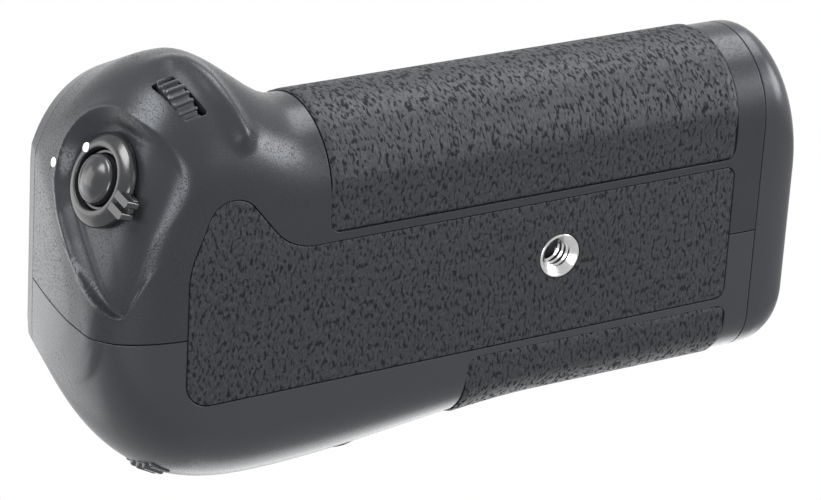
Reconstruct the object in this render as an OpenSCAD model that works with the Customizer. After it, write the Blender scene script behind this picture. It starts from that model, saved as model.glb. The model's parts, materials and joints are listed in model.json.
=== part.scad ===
// Battery grip that screws under a camera body.
// Frame: the origin is the mouth of the tripod socket, on the bottom face.
// +Z points up into the camera, +X to the battery tray cap, -Y to the subject.

/* [Body form] */
// Distance from the tripod socket to the shutter end
shutter_end = 90.7; // [89:0.1:94]
// Distance from the tripod socket to the tray end
tray_end = 52; // [51.5:0.5:56]
// Reach of the front face ahead of the socket
front_reach = 32.5; // [32.5:0.5:36]
// Reach of the back face behind the socket
back_reach = 28.8; // [28.5:0.1:31]
// Reach of the nose in front at the shutter end
nose_reach = 42; // [41:0.5:44]
// Reach of the palm heel behind at the shutter end
heel_reach = 35.8; // [35:0.1:37]
// Lower rounding of the front face
front_round = 14.5; // [12:0.5:15]
// Lower rounding of the nose
nose_round = 19; // [17:0.5:20]
// Lower rounding of the back face
back_round = 10; // [7:0.5:10]
// Lower rounding of the palm heel
heel_round = 16; // [13:0.5:17]
// Backward lean of the upper front, in degrees
front_lean = 27; // [24:1:29]
// Forward lean of the upper heel, in degrees
heel_lean = 24; // [18:1:25]
// Rounding of the tray end, along the length
tray_end_round = 7; // [6:0.5:8]

/* [Shells] */
// Wall of the moulded shells
wall = 2.2; // [1.9:0.1:2.4]
// Thickness of the top plate
plate_t = 3.5; // [3:0.25:4]
// Room for the screw gears between the battery chamber and the top plate
head_room = 10.4; // [9.5:0.1:12]
// Where the front and rear shells meet, behind the socket axis
seam_y = 2.4; // [1.5:0.1:3.5]
// Gap left at the seams
seam_gap = 0.1; // [0.05:0.05:0.3]
// Length of the tray cap beyond the parting line
cap_len = 8.7; // [8.5:0.1:10]
// Wall of the tray cap
cap_wall = 1.8; // [1.5:0.1:2.2]

/* [Grip pads] */
// Thickness of the leather-grained pads
pad_t = 1.2; // [0.8:0.1:1.4]
// Height of the front and rear pads above the shell
pad_proud = 0.45; // [0.2:0.05:0.6]
// Groove around each pad
pad_groove = 0.35; // [0.2:0.05:0.6]
// Top edge of the front and rear pads
pad_top = 24; // [20:0.5:26]

/* [Shutter release] */
// Diameter of the release button
shutter_d = 8.6; // [7.5:0.1:9]
// Travel of the release button
shutter_travel = 1.5; // [1:0.1:1.8]
// Outside diameter of the lock lever
lever_d = 16.3; // [15:0.1:17]
// Wall of the tube that guides the button
seat_wall = 0.92; // [0.8:0.01:1.1]
// Depth of the dish around the release, below its rim
dish_h = 8; // [7:0.5:9]

/* [Dials] */
// Diameter of the front dial
front_dial_d = 18; // [16:0.5:18.5]
// Diameter of the rear dial
rear_dial_d = 17; // [15:0.5:17.5]
// Width of both dials
dial_w = 4.4; // [4:0.1:4.8]
// Ridges around each dial
dial_ridges = 26; // [20:1:30]
// Height of each dial above the surface around it
dial_proud = 0.5; // [0.2:0.1:1]
// Diameter of the dial axles
axle_d = 2; // [1.6:0.1:2.4]

/* [Rear controls] */
// Diameter of the focus button
focus_d = 8.4; // [7.5:0.1:9]
// Travel of the focus button
focus_travel = 1; // [0.6:0.1:1.2]
// Diameter of the selector pad
selector_d = 13; // [12:0.1:13.5]
// Diameter of the selector's gimbal pins
gimbal_pin_d = 1.5; // [1.2:0.1:1.8]

/* [Battery tray] */
// Diameter of one AA cell
cell_d = 14.5; // [14.2:0.1:14.6]
// Length of one AA cell
cell_len = 50.5; // [49.5:0.1:50.7]
// Room for the contacts and springs at the ends of a bay
contact_room = 3.2; // [3:0.1:3.4]
// Wall of the tray
tray_wall = 1; // [0.8:0.1:1.1]
// Running gap between the tray and its chamber
tray_gap = 0.35; // [0.3:0.05:0.4]
// Wall of the battery chamber
chamber_wall = 0.9; // [0.8:0.1:1]
// Diameter of the latch key
key_d = 17; // [14:0.5:18]

/* [Camera mount] */
// Outside diameter of the camera screw, a 1/4 inch thread
screw_d = 6.35; // [6:0.05:6.35]
// Height of the camera screw above the mating face
screw_h = 5.5; // [4.5:0.1:6]
// Thread minor diameter of the tripod socket
socket_d = 5.2; // [5:0.05:5.4]
// Depth of the tripod socket
socket_depth = 5.4; // [5:0.1:5.5]
// Module of the screw gears
gear_m = 0.8; // [0.75:0.05:0.8]
// Teeth of the thumbwheel
wheel_teeth = 28; // [28:4:28]
// Teeth of the screw gear
screw_teeth = 20; // [20:4:20]
// Height of the thumbwheel
wheel_h = 5; // [4:0.25:5.5]
// Diameter of the locating pins
locator_d = 3.5; // [3:0.1:4]

/* [Hidden] */
$fn = 48;

shell_black = "#33353a";
pad_black = "#26272a";
gloss_black = "#15161a";
steel = "#c9ccd1";
brass = "#b9994f";
board_green = "#1f5a3c";
tray_grey = "#3f4145";

// Fits
run_fit = 0.06;
seat_fit = 0.1;
glue_line = 0.05;
tiny = 0.01;
far = 200;

// Battery tray and chamber
parting = tray_end - cap_len;
tray_y = -1;
bay_gap = 0.3;
bay_w = cell_d + bay_gap;
divider_t = 0.6;
bay_pitch = bay_w + divider_t;
bays = 3;
tray_w = bays * bay_w + (bays - 1) * divider_t + 2 * tray_wall;
bay_len = 2 * cell_len + contact_room;
tray_inset = 0.3;
tray_x1 = parting - tray_inset;
tray_x0 = tray_x1 - bay_len;
tray_end_wall = 1.2;
chamber_z0 = socket_depth + 0.2;
tray_z0 = chamber_z0 + chamber_wall + tray_gap;
tray_h = tray_wall + cell_d + bay_gap + 0.2;
chamber_h = tray_h + 2 * tray_gap + 2 * chamber_wall;
chamber_w = tray_w + 2 * tray_gap + 2 * chamber_wall;
chamber_x0 = tray_x0 - tray_end_wall - 2 * tray_gap - chamber_wall;
chamber_mid_z = chamber_z0 + chamber_h / 2;
plate_z = chamber_z0 + chamber_h + head_room;
body_h = plate_z + plate_t;
keeper_out = 3.6;
keeper_half = 12;
keeper_x1 = parting + keeper_out;
flange_t = 1.6;
flange_x = parting - 0.2 - flange_t;

// Places along the length where the form changes
neck_start = -50;
neck_end = -68;
nose_x = -68;
heel_start = 0;
heel_x = -56;
low_x = -73.5;
high_x = -84;
end_y = 4;
end_low = 3;
end_high = 16;
end_skip = 0.35;
dome_power = 2.3;
tray_round_front = 13;
tray_round_back = 4;
tray_round_low = 2;
tray_round_high = 4.8;

function blend(a, b, t) = a + (b - a) * t;
function smooth(t) = let (c = min(1, max(0, t))) c * c * (3 - 2 * c);
function dome(t, p = 2) = pow(max(0, 1 - pow(min(1, max(0, t)), p)), 1 / p);
function end_dome(x, from, g, p = 2) = x < from ? dome((from - x) / (from + shutter_end + g), p) : 1;

// Shares of the nose and heel at a place along the length
function nose_share(x) = smooth((neck_start - x) / (neck_start - neck_end));
function heel_share(x) = smooth((heel_start - x) / (heel_start - heel_x));
function tray_drop(x, g) = 1 - dome((x - (tray_end + g - tray_end_round)) / tray_end_round);

// Outer limits of the section at x, grown by g
function front_edge(x, g = 0) =
    end_y - (blend(front_reach, nose_reach, nose_share(x)) + end_y) * end_dome(x, nose_x, g, dome_power)
    - g + tray_round_front * tray_drop(x, g);
function back_edge(x, g = 0) =
    end_y + (blend(back_reach, heel_reach, heel_share(x)) - end_y) * end_dome(x, heel_x, g, dome_power)
    + g - tray_round_back * tray_drop(x, g);
function low_edge(x, g = 0) = end_low * (1 - end_dome(x, low_x, g)) - g + tray_round_low * tray_drop(x, g);
function high_edge(x, g = 0) =
    blend(end_high, body_h, end_dome(x, high_x, g)) + g - tray_round_high * tray_drop(x, g);

// Lower rounding of a side, limited by the section itself
function side_round(x, g, r, lean) =
    max(0.02, min(r + g, 0.46 * (back_edge(x, g) - front_edge(x, g)),
        (high_edge(x, g) - low_edge(x, g)) / (1.02 + sin(lean))));
function front_r(x, g = 0) = side_round(x, g, blend(front_round, nose_round, nose_share(x)), front_lean);
function back_lean(x) = heel_lean * heel_share(x);
function back_r(x, g = 0) =
    side_round(x, g, blend(back_round, heel_round, heel_share(x)), back_lean(x));

// How far a side stands in from its edge at height h above the bottom
function side_inset(h, r, lean) = h <= r * (1 + sin(lean))
    ? r - sqrt(max(0, r * r - (r - h) * (r - h)))
    : r * (1 - cos(lean)) + (h - r * (1 + sin(lean))) * tan(lean);
function front_y(x, z, g = 0) = front_edge(x, g) + side_inset(z - low_edge(x, g), front_r(x, g), front_lean);
function back_y(x, z, g = 0) = back_edge(x, g) - side_inset(z - low_edge(x, g), back_r(x, g), back_lean(x));

// One closed section of the form, from the front foot over the top to the back foot
arc_steps = 8;
rise_steps = 2;
function side_heights(x, g, r, lean) = let (
    h = high_edge(x, g) - low_edge(x, g),
    bend = r * (1 + sin(lean))
) concat(
    [for (i = [0:arc_steps]) r * (1 - cos((90 + lean) * i / arc_steps))],
    [for (i = [1:rise_steps]) blend(bend, h, i / rise_steps)]
);
function section(x, g) = let (
    low = low_edge(x, g),
    f = side_heights(x, g, front_r(x, g), front_lean),
    b = side_heights(x, g, back_r(x, g), back_lean(x)),
    n = len(b)
) concat(
    [for (h = f) [x, front_y(x, low + h, g), low + h]],
    [for (i = [1:n]) [x, back_y(x, low + b[n - i], g), low + b[n - i]]]
);

// Places of the sections: close together on the round ends, wide apart on the straight
function stations(g, from, to) = let (
    left = -shutter_end - g + end_skip,
    right = tray_end + g,
    straight = right - tray_end_round,
    all = concat(
        [for (i = [0:11]) left + (heel_x - left) * (1 - cos(90 * i / 12))],
        [for (i = [0:15]) blend(heel_x, heel_start, i / 16)],
        [for (i = [0:3]) blend(heel_start, straight, i / 4)],
        [for (i = [0:6]) straight + tray_end_round * sin(90 * i / 6)]
    ),
    first = max(from, left),
    last = min(to, right)
) concat([first], [for (x = all) if (x > first + tiny && x < last - tiny) x], [last]);

// The body form, grown by g and cut square at two places along the length
module body_form(g = 0, from = -far, to = far) {
    places = stations(g, from, to);
    rings = [for (x = places) section(x, g)];
    n = len(rings[0]);
    m = len(rings);
    polyhedron(
        points = [for (r = rings) each r],
        faces = concat(
            [[for (j = [0:n - 1]) n - 1 - j]],
            [[for (j = [0:n - 1]) (m - 1) * n + j]],
            [for (i = [0:m - 2]) for (j = [0:n - 1]) let (k = (j + 1) % n) each [
                [i * n + j, (i + 1) * n + k, (i + 1) * n + j],
                [i * n + j, i * n + k, (i + 1) * n + k],
            ]]
        ),
        convexity = 6
    );
}

// Everything behind, ahead, above or below a plane
module behind(y) { translate([-far, y, -far]) cube([2 * far, 2 * far, 2 * far]); }
module ahead(y) { translate([-far, y - 2 * far, -far]) cube([2 * far, 2 * far, 2 * far]); }
module above(z) { translate([-far, -far, z]) cube([2 * far, 2 * far, 2 * far]); }
module below(z) { translate([-far, -far, z - 2 * far]) cube([2 * far, 2 * far, 2 * far]); }

// Latch of the tray
arm_gap = 0.4;
arm_t = 1.6;
arm_x = tray_x1 + tray_end_wall + arm_gap;
arm_reach = chamber_h / 2 - 0.15;
arm_w = 8;
slot_half = 7;
latch_plate_t = 1.6;
latch_plate_x = arm_x + arm_t + arm_gap;
cap_floor = latch_plate_x + latch_plate_t + seat_fit;
key_recess = 2.6;
key_disc_t = 0.8;
key_bar_t = 1.4;
key_bar_w = 3.2;
key_shaft_d = 5;
key_x = tray_end - key_recess + 0.3;
spacer_d = 4;
spacer_y = 19;
spacer_z = 4.5;
latch_margin = [3, 2.4];
latch_half = [spacer_y, spacer_z] + latch_margin;

// Shutter release, in a frame whose Z points out of the dish
shutter_tilt = 96.3;
shutter_turn = 201.9;
shutter_in = 7.4;
release_share = 0.4369;
shutter_behind = release_share * (nose_reach + seam_y);
shutter_z = 14.6;
shutter_place = [-shutter_end + shutter_in, -nose_reach + shutter_behind, shutter_z];
seat_bore = shutter_d + 0.16;
seat_d = seat_bore + 2 * seat_wall;
seat_top = 2.5;
seat_depth = 6;
// Discs of the dish: place, radius on the floor, then place and radius at the rim
release_room = seam_y - shutter_place.y;
dish_mid = [0.02, 0.032] * release_room;
dish_clear = 0.75;
tip_r = 1;
tab_r = 5.3;
rim_r = 0.52 * release_room;
dish_round = [dish_mid, lever_d / 2 + dish_clear, dish_mid, 0.6 * release_room];
dish_tip = [[0.46, -0.712] * release_room, tip_r, [0.048, -0.956] * release_room, rim_r];
dish_tab = [[0.38, 0.12] * release_room, tab_r, [0.38, 0.2] * release_room, rim_r];
dish_back = 1.8;
seat_flange_t = 1.1;
seat_flange_out = 1.5;
lever_low = 0.3;
lever_top = 2.3;
lever_bore = seat_d + 0.12;
tab_reach = 10.8;
tab_w = 4.6;
tab_angle = -10;
tab_rise = 0.5;
tab_groove = 0.5;
tab_pitch = 1.2;
lever_edge = 1.2;
switch_t = 1.5;

// Dials
front_dial_turn = -12;
front_dial_x = -73.4;
front_dial_z = 8.4;
dial_groove = 0.45;
axle_end = 0.4;
axle_fit = 0.01;
front_dial_dip = 35;
rear_dial_turn = 28;
rear_dial_x = -76;
rear_dial_z = 13;
board_t = 1.4;
board_drop = 2.6;
board_z = plate_z - board_drop - board_t;
cheek_t = 1.2;
cheek_gap = 0.5;
cheek_r = 2.4;
bridge_t = 1.2;
front_leg = [0, 3.5];
rear_leg = [-6.5, -3];
board_lap = 1.4;
function dial_out(turn, dip, side) = [-side * sin(turn) * cos(dip), side * cos(turn) * cos(dip), -sin(dip)];
front_dial_out = dial_out(front_dial_turn, front_dial_dip, -1);
rear_dial_out = dial_out(rear_dial_turn, 0, 1);
front_dial_place = [front_dial_x, front_y(front_dial_x, front_dial_z), front_dial_z]
    - (front_dial_d / 2 - dial_proud) * front_dial_out;
rear_dial_place = [rear_dial_x, back_y(rear_dial_x, rear_dial_z), rear_dial_z]
    - (rear_dial_d / 2 - dial_proud) * rear_dial_out;
window_gap = 0.8;
window_w = dial_w + window_gap;

// Rear controls
chamber_back = tray_y + chamber_w / 2;
focus_proud = 0.6;
selector_proud = -0.2;
focus_x = -57;
focus_z = 20;
focus_face = back_y(focus_x, focus_z) + focus_proud;
focus_bore = focus_d + 0.16;
focus_seat_d = focus_bore + 2.4;
focus_switch_t = 2.2;
selector_x = -38;
selector_z = 16;
selector_face = back_y(selector_x, selector_z) + selector_proud;
pivot_out = 3.3;
selector_pivot = chamber_back + pivot_out;
selector_plate_t = 1.2;
cap_t = 2;
gimbal_t = 2.4;
gimbal_out = 10.4;
gimbal_in = 7.6;
gimbal_core = 6.6;
post_z = 5.6;
post_t = 1.5;
post_w = 3.6;
post_top = 1.3;

// Camera mount
gear_gap = 1.3;
gear_z = plate_z - gear_gap - wheel_h;
wheel_r = gear_m * wheel_teeth / 2;
gear_r = gear_m * screw_teeth / 2;
gear_centres = wheel_r + gear_r;
tooth_add = 0.85;
tooth_ded = 1.2;
wheel_proud = 1.8;
wheel_y = back_reach + wheel_proud - wheel_r - gear_m * tooth_add;
wheel_x = sqrt(gear_centres * gear_centres - wheel_y * wheel_y);
wheel_angle = atan2(wheel_y, wheel_x);
journal_d = screw_d + 1.65;
bush_wall = 2;
bush_d = journal_d + 2 * bush_wall;
wheel_axle_d = 4;
block_size = [24, 9];
block_h = 4.5;
block_place = [-36, 4];
pin_rows = 2;
pin_columns = 6;
pin_pitch = 3.2;
pin_d = 1.1;
pin_out = 0.9;
locator_h = 4;
locators = [[30, 6], [-60, -8]];
boss_d = 5;
screw_head_d = 4;
screw_shank_d = 2;
screw_len = 7;
boss_foot = 2;
boss_web = 2;
boss_step = 4;
head_t = 1.4;
head_sink = 0.1;
front_bosses = [[34, -18], [-30, -19], [-64, -27]];
rear_bosses = [[34, 20], [-24, 24], [-49, 25]];

rib_places = [-27, -8, 22];
rib_t = 1.2;
rib_skin = 0.4;
rib_tip_h = 8;
rib_foot_h = 10;

// Tripod socket
bush_flange_t = 1.2;
tripod_bush_d = 9;
tripod_flange_d = 15;
plate_window = [39.2, 22.8];
plate_lap = 2.5;
plate_low = pad_t + seat_fit;
plate_high = socket_depth - bush_flange_t;

// Pads
front_pad = [-47.8, 37];
rear_pad = [-18, 38];
bottom_pad = [-74.6, 37];
front_pad_y = -12.7;
rear_pad_y = 16.6;
bottom_pad_y = [-10.8, 14.6];
lobe_place = [-65, -13.6];
lobe_r = 7.7;
pad_sink = pad_t - pad_proud;
pad_corner = 2;
pad_fillet = 4;
lobe_neck = 4;

module at_shutter() { translate(shutter_place) rotate([0, shutter_tilt, shutter_turn]) children(); }
module at_front_dial() { translate(front_dial_place) rotate([0, 90, front_dial_turn]) children(); }
module at_rear_dial() { translate(rear_dial_place) rotate([0, 90, rear_dial_turn]) children(); }
// Frames whose Z points out of the back face
module at_focus() { translate([focus_x, 0, focus_z]) rotate([-90, 0, 0]) children(); }
module at_selector() { translate([selector_x, selector_pivot, selector_z]) rotate([-90, 0, 0]) children(); }
module at_latch() { translate([0, tray_y, chamber_mid_z]) rotate([0, 90, 0]) children(); }

module tube(d_out, d_in, low, high) {
    difference() {
        translate([0, 0, low]) cylinder(h = high - low, d = d_out);
        translate([0, 0, low - 1]) cylinder(h = high - low + 2, d = d_in);
    }
}

// A coil spring along Z as one closed tube
module coil(r, wire, turns, height) {
    per_turn = 10;
    sides = 6;
    n = turns * per_turn;
    rings = [for (i = [0:n]) let (a = 360 * i / per_turn, z = blend(wire / 2, height - wire / 2, i / n))
        [for (j = [0:sides - 1]) let (b = 360 * j / sides, rho = r + wire / 2 * cos(b))
            [rho * cos(a), rho * sin(a), z + wire / 2 * sin(b)]]];
    polyhedron(
        points = [for (ring = rings) each ring],
        faces = concat(
            [[for (j = [0:sides - 1]) sides - 1 - j]],
            [[for (j = [0:sides - 1]) n * sides + j]],
            [for (i = [0:n - 1]) for (j = [0:sides - 1]) let (k = (j + 1) % sides) each [
                [i * sides + j, (i + 1) * sides + k, (i + 1) * sides + j],
                [i * sides + j, i * sides + k, (i + 1) * sides + k],
            ]]
        )
    );
}

// The hollow and its backing around the shutter release
module dish(grow = 0, floor_at = 0) {
    at_shutter() translate([0, 0, floor_at]) hull()
        for (disc = [dish_round, dish_tip, dish_tab]) {
            translate(disc[0]) cylinder(h = tiny, r = disc[1] + grow, $fn = 40);
            translate([disc[2].x, disc[2].y, dish_h]) cylinder(h = tiny, r = disc[3] + grow, $fn = 40);
        }
}

// Outlines of the pads, seen from below, grown by g
module front_pad_outline(g) {
    offset(r = pad_corner + g, $fn = 24) offset(delta = -pad_corner)
        translate([front_pad[0], -far]) square([front_pad[1] - front_pad[0], far + front_pad_y]);
}
module rear_pad_outline(g) {
    offset(r = pad_corner + g, $fn = 24) offset(delta = -pad_corner)
        translate([rear_pad[0], rear_pad_y]) square([rear_pad[1] - rear_pad[0], far]);
}
module bottom_pad_outline(g) {
    offset(r = pad_corner + g, $fn = 24) offset(delta = -pad_corner)
    offset(r = -pad_fillet, $fn = 24) offset(delta = pad_fillet) union() {
        translate([bottom_pad[0], bottom_pad_y[0]])
            square([bottom_pad[1] - bottom_pad[0], bottom_pad_y[1] - bottom_pad_y[0]]);
        hull() {
            translate(lobe_place) circle(r = lobe_r, $fn = 40);
            translate([bottom_pad[0], bottom_pad_y[0]]) square([2 * lobe_r + lobe_neck, 1]);
        }
    }
}

// The space a wrapped pad takes out of the shells
module pad_pocket(from, to) {
    difference() {
        translate([0, 0, -1]) linear_extrude(pad_top + pad_groove + 1) children();
        body_form(-pad_sink - glue_line, from - 3, to + 3);
    }
}

// A screw boss under the top plate, footed on the wall
module boss(place, back) {
    wall_y = back ? back_y(place.x, plate_z, -wall) : front_y(place.x, plate_z, -wall);
    foot_y = (back ? 1 : -1) * (abs(wall_y - place.y) + wall / 2);
    for (rise = [0, boss_step])
        hull() {
            translate([place.x, place.y, plate_z - screw_len + rise])
                cylinder(h = screw_len - rise, d = boss_d, $fn = 24);
            translate([place.x - boss_web / 2, place.y + foot_y - boss_web / 4,
                plate_z - screw_len + rise - boss_foot])
                cube([boss_web, boss_web / 2, screw_len - rise + boss_foot]);
        }
}

module hollow_form() {
    difference() {
        body_form(0, -far, parting);
        body_form(-wall, -far, parting + 1);
    }
}

module screw_holes(places) {
    for (p = places)
        translate([p.x, p.y, plate_z - screw_len - 1])
            cylinder(h = screw_len + 2, d = screw_shank_d + 0.2, $fn = 16);
}

module front_shell() {
    color(shell_black)
    difference() {
        intersection() {
            union() {
                hollow_form();
                intersection() {
                    body_form(0, -far, neck_start);
                    dish(dish_back, -dish_back);
                }
                intersection() {
                    body_form(-wall / 2, -far, parting);
                    union() for (p = front_bosses) boss(p, false);
                }
            }
            ahead(seam_y - seam_gap / 2);
            below(plate_z);
        }
        dish();
        at_shutter() translate([0, 0, -far / 10]) cylinder(h = far / 5, d = seat_d + 2 * seat_fit);
        at_front_dial() cylinder(h = window_w, d = front_dial_d + 2 * window_gap, center = true);
        pad_pocket(front_pad[0], front_pad[1]) front_pad_outline(pad_groove);
        translate([0, 0, -1]) linear_extrude(1 + pad_t + glue_line) bottom_pad_outline(pad_groove);
        plate_block(0, -1, wall + 1);
        screw_holes(front_bosses);
    }
}

module rear_shell() {
    color(shell_black)
    difference() {
        intersection() {
            union() {
                hollow_form();
                intersection() {
                    body_form(-wall / 2, -far, parting);
                    union() {
                        for (p = rear_bosses) boss(p, true);
                        stop_ribs();
                    }
                }
            }
            behind(seam_y + seam_gap / 2);
            below(plate_z);
        }
        at_rear_dial() cylinder(h = window_w, d = rear_dial_d + 2 * window_gap, center = true);
        at_focus() translate([0, 0, chamber_back]) cylinder(h = far, d = focus_seat_d + 2 * seat_fit);
        at_selector() cylinder(h = far, d = selector_d + 1.8);
        translate([wheel_x, wheel_y, gear_z - 0.5])
            cylinder(h = wheel_h + 1, r = wheel_r + gear_m * tooth_add + 0.6);
        pad_pocket(rear_pad[0], rear_pad[1]) rear_pad_outline(pad_groove);
        translate([0, 0, -1]) linear_extrude(1 + pad_t + glue_line) bottom_pad_outline(pad_groove);
        plate_block(0, -1, wall + 1);
        screw_holes(rear_bosses);
    }
}

// Ribs inside the rear shell that steady the battery chamber
module stop_ribs() {
    for (x = rib_places)
        hull() {
            translate([x - rib_t / 2, chamber_back + tray_inset, chamber_mid_z - rib_tip_h / 2])
                cube([rib_t, rib_skin, rib_tip_h]);
            translate([x - rib_t / 2, back_y(x, chamber_mid_z, -wall) + wall / 2,
                chamber_mid_z - rib_foot_h / 2])
                cube([rib_t, rib_skin, rib_foot_h]);
        }
}

module top_plate() {
    color(shell_black)
    difference() {
        intersection() {
            body_form(0, -far, parting);
            above(plate_z);
        }
        translate([0, 0, plate_z - 1]) cylinder(h = plate_t + 2, d = bush_d + 2 * seat_fit);
        for (p = concat(front_bosses, rear_bosses)) {
            translate([p.x, p.y, plate_z - 1]) cylinder(h = plate_t + 2, d = screw_shank_d + 0.4);
            translate([p.x, p.y, body_h - head_t - 2 * head_sink])
                cylinder(h = plate_t, d = screw_head_d + 0.4);
        }
    }
}

module battery_chamber() {
    color(tray_grey)
    difference() {
        union() {
            translate([chamber_x0, tray_y - chamber_w / 2, chamber_z0])
                cube([flange_x + flange_t - chamber_x0, chamber_w, chamber_h]);
            translate([flange_x, tray_y - keeper_half, chamber_z0])
                cube([keeper_x1 - flange_x, 2 * keeper_half, chamber_h]);
            translate([flange_x, 0, 0]) rotate([90, 0, 90]) linear_extrude(flange_t)
                intersection() {
                    polygon([for (p = section(parting, -wall - seat_fit)) [p.y, p.z]]);
                    translate([-far, -far]) square([2 * far, far + plate_z - seat_fit]);
                }
        }
        translate([chamber_x0 + chamber_wall, tray_y - chamber_w / 2 + chamber_wall,
            chamber_z0 + chamber_wall])
            cube([far, chamber_w - 2 * chamber_wall, chamber_h - 2 * chamber_wall]);
        translate([arm_x - arm_gap, tray_y - slot_half, chamber_z0 - 1])
            cube([arm_t + 2 * arm_gap, 2 * slot_half, chamber_h + 2]);
        for (side = [-1, 1])
            translate([chamber_x0 - 1, tray_y + side * bay_pitch - terminal_w / 2 - seat_fit,
                chamber_mid_z - terminal_w / 2 - seat_fit])
                cube([chamber_wall + 2, terminal_w + 2 * seat_fit, terminal_w + 2 * seat_fit]);
    }
}

// Spring terminals in the chamber's end wall that meet the tray
terminal_w = 4;
terminal_out = 1.2;
module chamber_terminals() {
    color(brass)
    for (side = [-1, 1])
        translate([chamber_x0 - terminal_out, tray_y + side * bay_pitch - terminal_w / 2,
            chamber_mid_z - terminal_w / 2])
            cube([chamber_wall + terminal_out + tray_gap, terminal_w, terminal_w]);
}

// A pad wrapped around one side of the form
module wrapped_pad(from, to) {
    intersection() {
        difference() {
            body_form(pad_proud, from - 1, to + 1);
            body_form(-pad_sink, from - 2, to + 2);
        }
        translate([0, 0, -1]) linear_extrude(pad_top + 1) children();
    }
}
module front_grip_pad() {
    color(pad_black)
    intersection() {
        wrapped_pad(front_pad[0], front_pad[1]) front_pad_outline(0);
        above(0);
    }
}
module rear_grip_pad() {
    color(pad_black)
    intersection() {
        wrapped_pad(rear_pad[0], rear_pad[1]) rear_pad_outline(0);
        above(0);
    }
}
module bottom_grip_pad() {
    color(pad_black)
    difference() {
        linear_extrude(pad_t) bottom_pad_outline(0);
        translate([0, 0, -1]) cylinder(h = pad_t + 2, d = tripod_bush_d + 2 * seat_fit);
    }
}

module tripod_bush() {
    color(steel)
    difference() {
        union() {
            cylinder(h = socket_depth, d = tripod_bush_d);
            translate([0, 0, plate_high]) cylinder(h = bush_flange_t, d = tripod_flange_d);
        }
        translate([0, 0, -1]) cylinder(h = socket_depth + 2, d = socket_d);
    }
}

// The plate's outline, grown all round between two heights
module plate_block(grow, low, high) {
    size = plate_window + [2 * grow, 2 * grow];
    translate([-size.x / 2, -size.y / 2, low]) cube([size.x, size.y, high - low]);
}
module tripod_plate() {
    color(steel)
    difference() {
        union() {
            plate_block(-seat_fit, plate_low, plate_high - seat_fit);
            plate_block(plate_lap, wall + seat_fit, plate_high - seat_fit);
        }
        cylinder(h = far, d = tripod_bush_d + 2 * seat_fit);
    }
}

module shutter_seat() {
    color(gloss_black)
    at_shutter() difference() {
        union() {
            translate([0, 0, -seat_depth]) cylinder(h = seat_depth + seat_top, d = seat_d);
            translate([0, 0, -dish_back - seat_fit - seat_flange_t])
                cylinder(h = seat_flange_t, d = seat_d + 2 * seat_flange_out);
        }
        translate([0, 0, -seat_depth - 1]) cylinder(h = seat_depth + seat_top + 2, d = seat_bore);
    }
}

button_stem = 3;
button_skirt = 1.4;
button_top = 3.5;
button_crown = 1.4 * shutter_d;
plunger_gap = 0.3;
spring_wire = 0.5;
spring_turns = 4;
stem_end = seat_depth - switch_t - shutter_travel;
module shutter_button() {
    color(gloss_black)
    at_shutter() union() {
        intersection() {
            translate([0, 0, -button_skirt]) cylinder(h = button_skirt + button_top, d = shutter_d);
            translate([0, 0, button_top - button_crown]) sphere(r = button_crown, $fn = 96);
        }
        translate([0, 0, -stem_end]) cylinder(h = stem_end, d = button_stem);
    }
}

module shutter_switch() {
    color(pad_black)
    at_shutter() union() {
        translate([0, 0, -seat_depth - switch_t]) cylinder(h = switch_t, d = seat_d);
        translate([0, 0, -seat_depth]) cylinder(h = switch_t - plunger_gap, d = button_stem);
    }
}

module shutter_spring() {
    color(steel)
    at_shutter() translate([0, 0, -seat_depth])
        coil((button_stem + seat_bore) / 4, spring_wire, spring_turns, seat_depth - button_skirt);
}

module lock_lever() {
    color(gloss_black)
    at_shutter() union() {
        rotate_extrude($fn = 96) polygon([
            [lever_bore / 2, lever_low], [lever_d / 2, lever_low], [lever_d / 2, lever_edge],
            [lever_d / 2 - lever_edge, lever_top], [lever_bore / 2, lever_top],
        ]);
        difference() {
            rotate(tab_angle) translate([0, -tab_w / 2, lever_low])
                cube([tab_reach, tab_w, lever_top + tab_rise]);
            cylinder(h = 2 * lever_top + 2, d = lever_d - 0.6, center = true);
            rotate(tab_angle) for (y = [-tab_pitch, 0, tab_pitch])
                translate([lever_d / 2, y - tab_groove / 2, lever_top]) cube([tab_reach, tab_groove, 1]);
        }
    }
}

// A ridged dial on its axle
module dial(d) {
    step = 360 / dial_ridges;
    difference() {
        translate([0, 0, -dial_w / 2]) linear_extrude(dial_w)
            polygon([for (i = [0:dial_ridges - 1]) for (c = [[-0.3, 1], [0.3, 1], [0.42, 0], [0.58, 0]])
                (d / 2 - dial_groove * (1 - c[1])) * [cos((i + c[0]) * step), sin((i + c[0]) * step)]]);
        cylinder(h = dial_w + 2, d = axle_d + 2 * run_fit, center = true);
    }
}
module dial_axle() {
    axle_len = dial_w + 2 * (cheek_gap + cheek_t + axle_end);
    cylinder(h = axle_len, d = axle_d, center = true);
}
// Two cheeks and a bridge that hang a dial from the control board
module dial_bracket(place, leg) {
    rise = board_z - place.z;
    reach = dial_w / 2 + cheek_gap;
    difference() {
        union() {
            for (side = [-1, 1])
                translate([0, 0, side * (reach + cheek_t / 2) - cheek_t / 2]) linear_extrude(cheek_t)
                    hull() {
                        circle(r = cheek_r, $fn = 32);
                        translate([-rise, leg[0]]) square([bridge_t, leg[1] - leg[0]]);
                    }
            translate([-rise, leg[0], -reach - cheek_t])
                cube([bridge_t, leg[1] - leg[0], 2 * (reach + cheek_t)]);
        }
        cylinder(h = far, d = axle_d + 2 * axle_fit, center = true);
    }
}
module front_dial() { color(gloss_black) at_front_dial() dial(front_dial_d); }
module rear_dial() { color(gloss_black) at_rear_dial() dial(rear_dial_d); }
module front_dial_axle() { color(steel) at_front_dial() dial_axle(); }
module rear_dial_axle() { color(steel) at_rear_dial() dial_axle(); }
module front_dial_bracket() { color(steel) at_front_dial() dial_bracket(front_dial_place, front_leg); }
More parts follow.
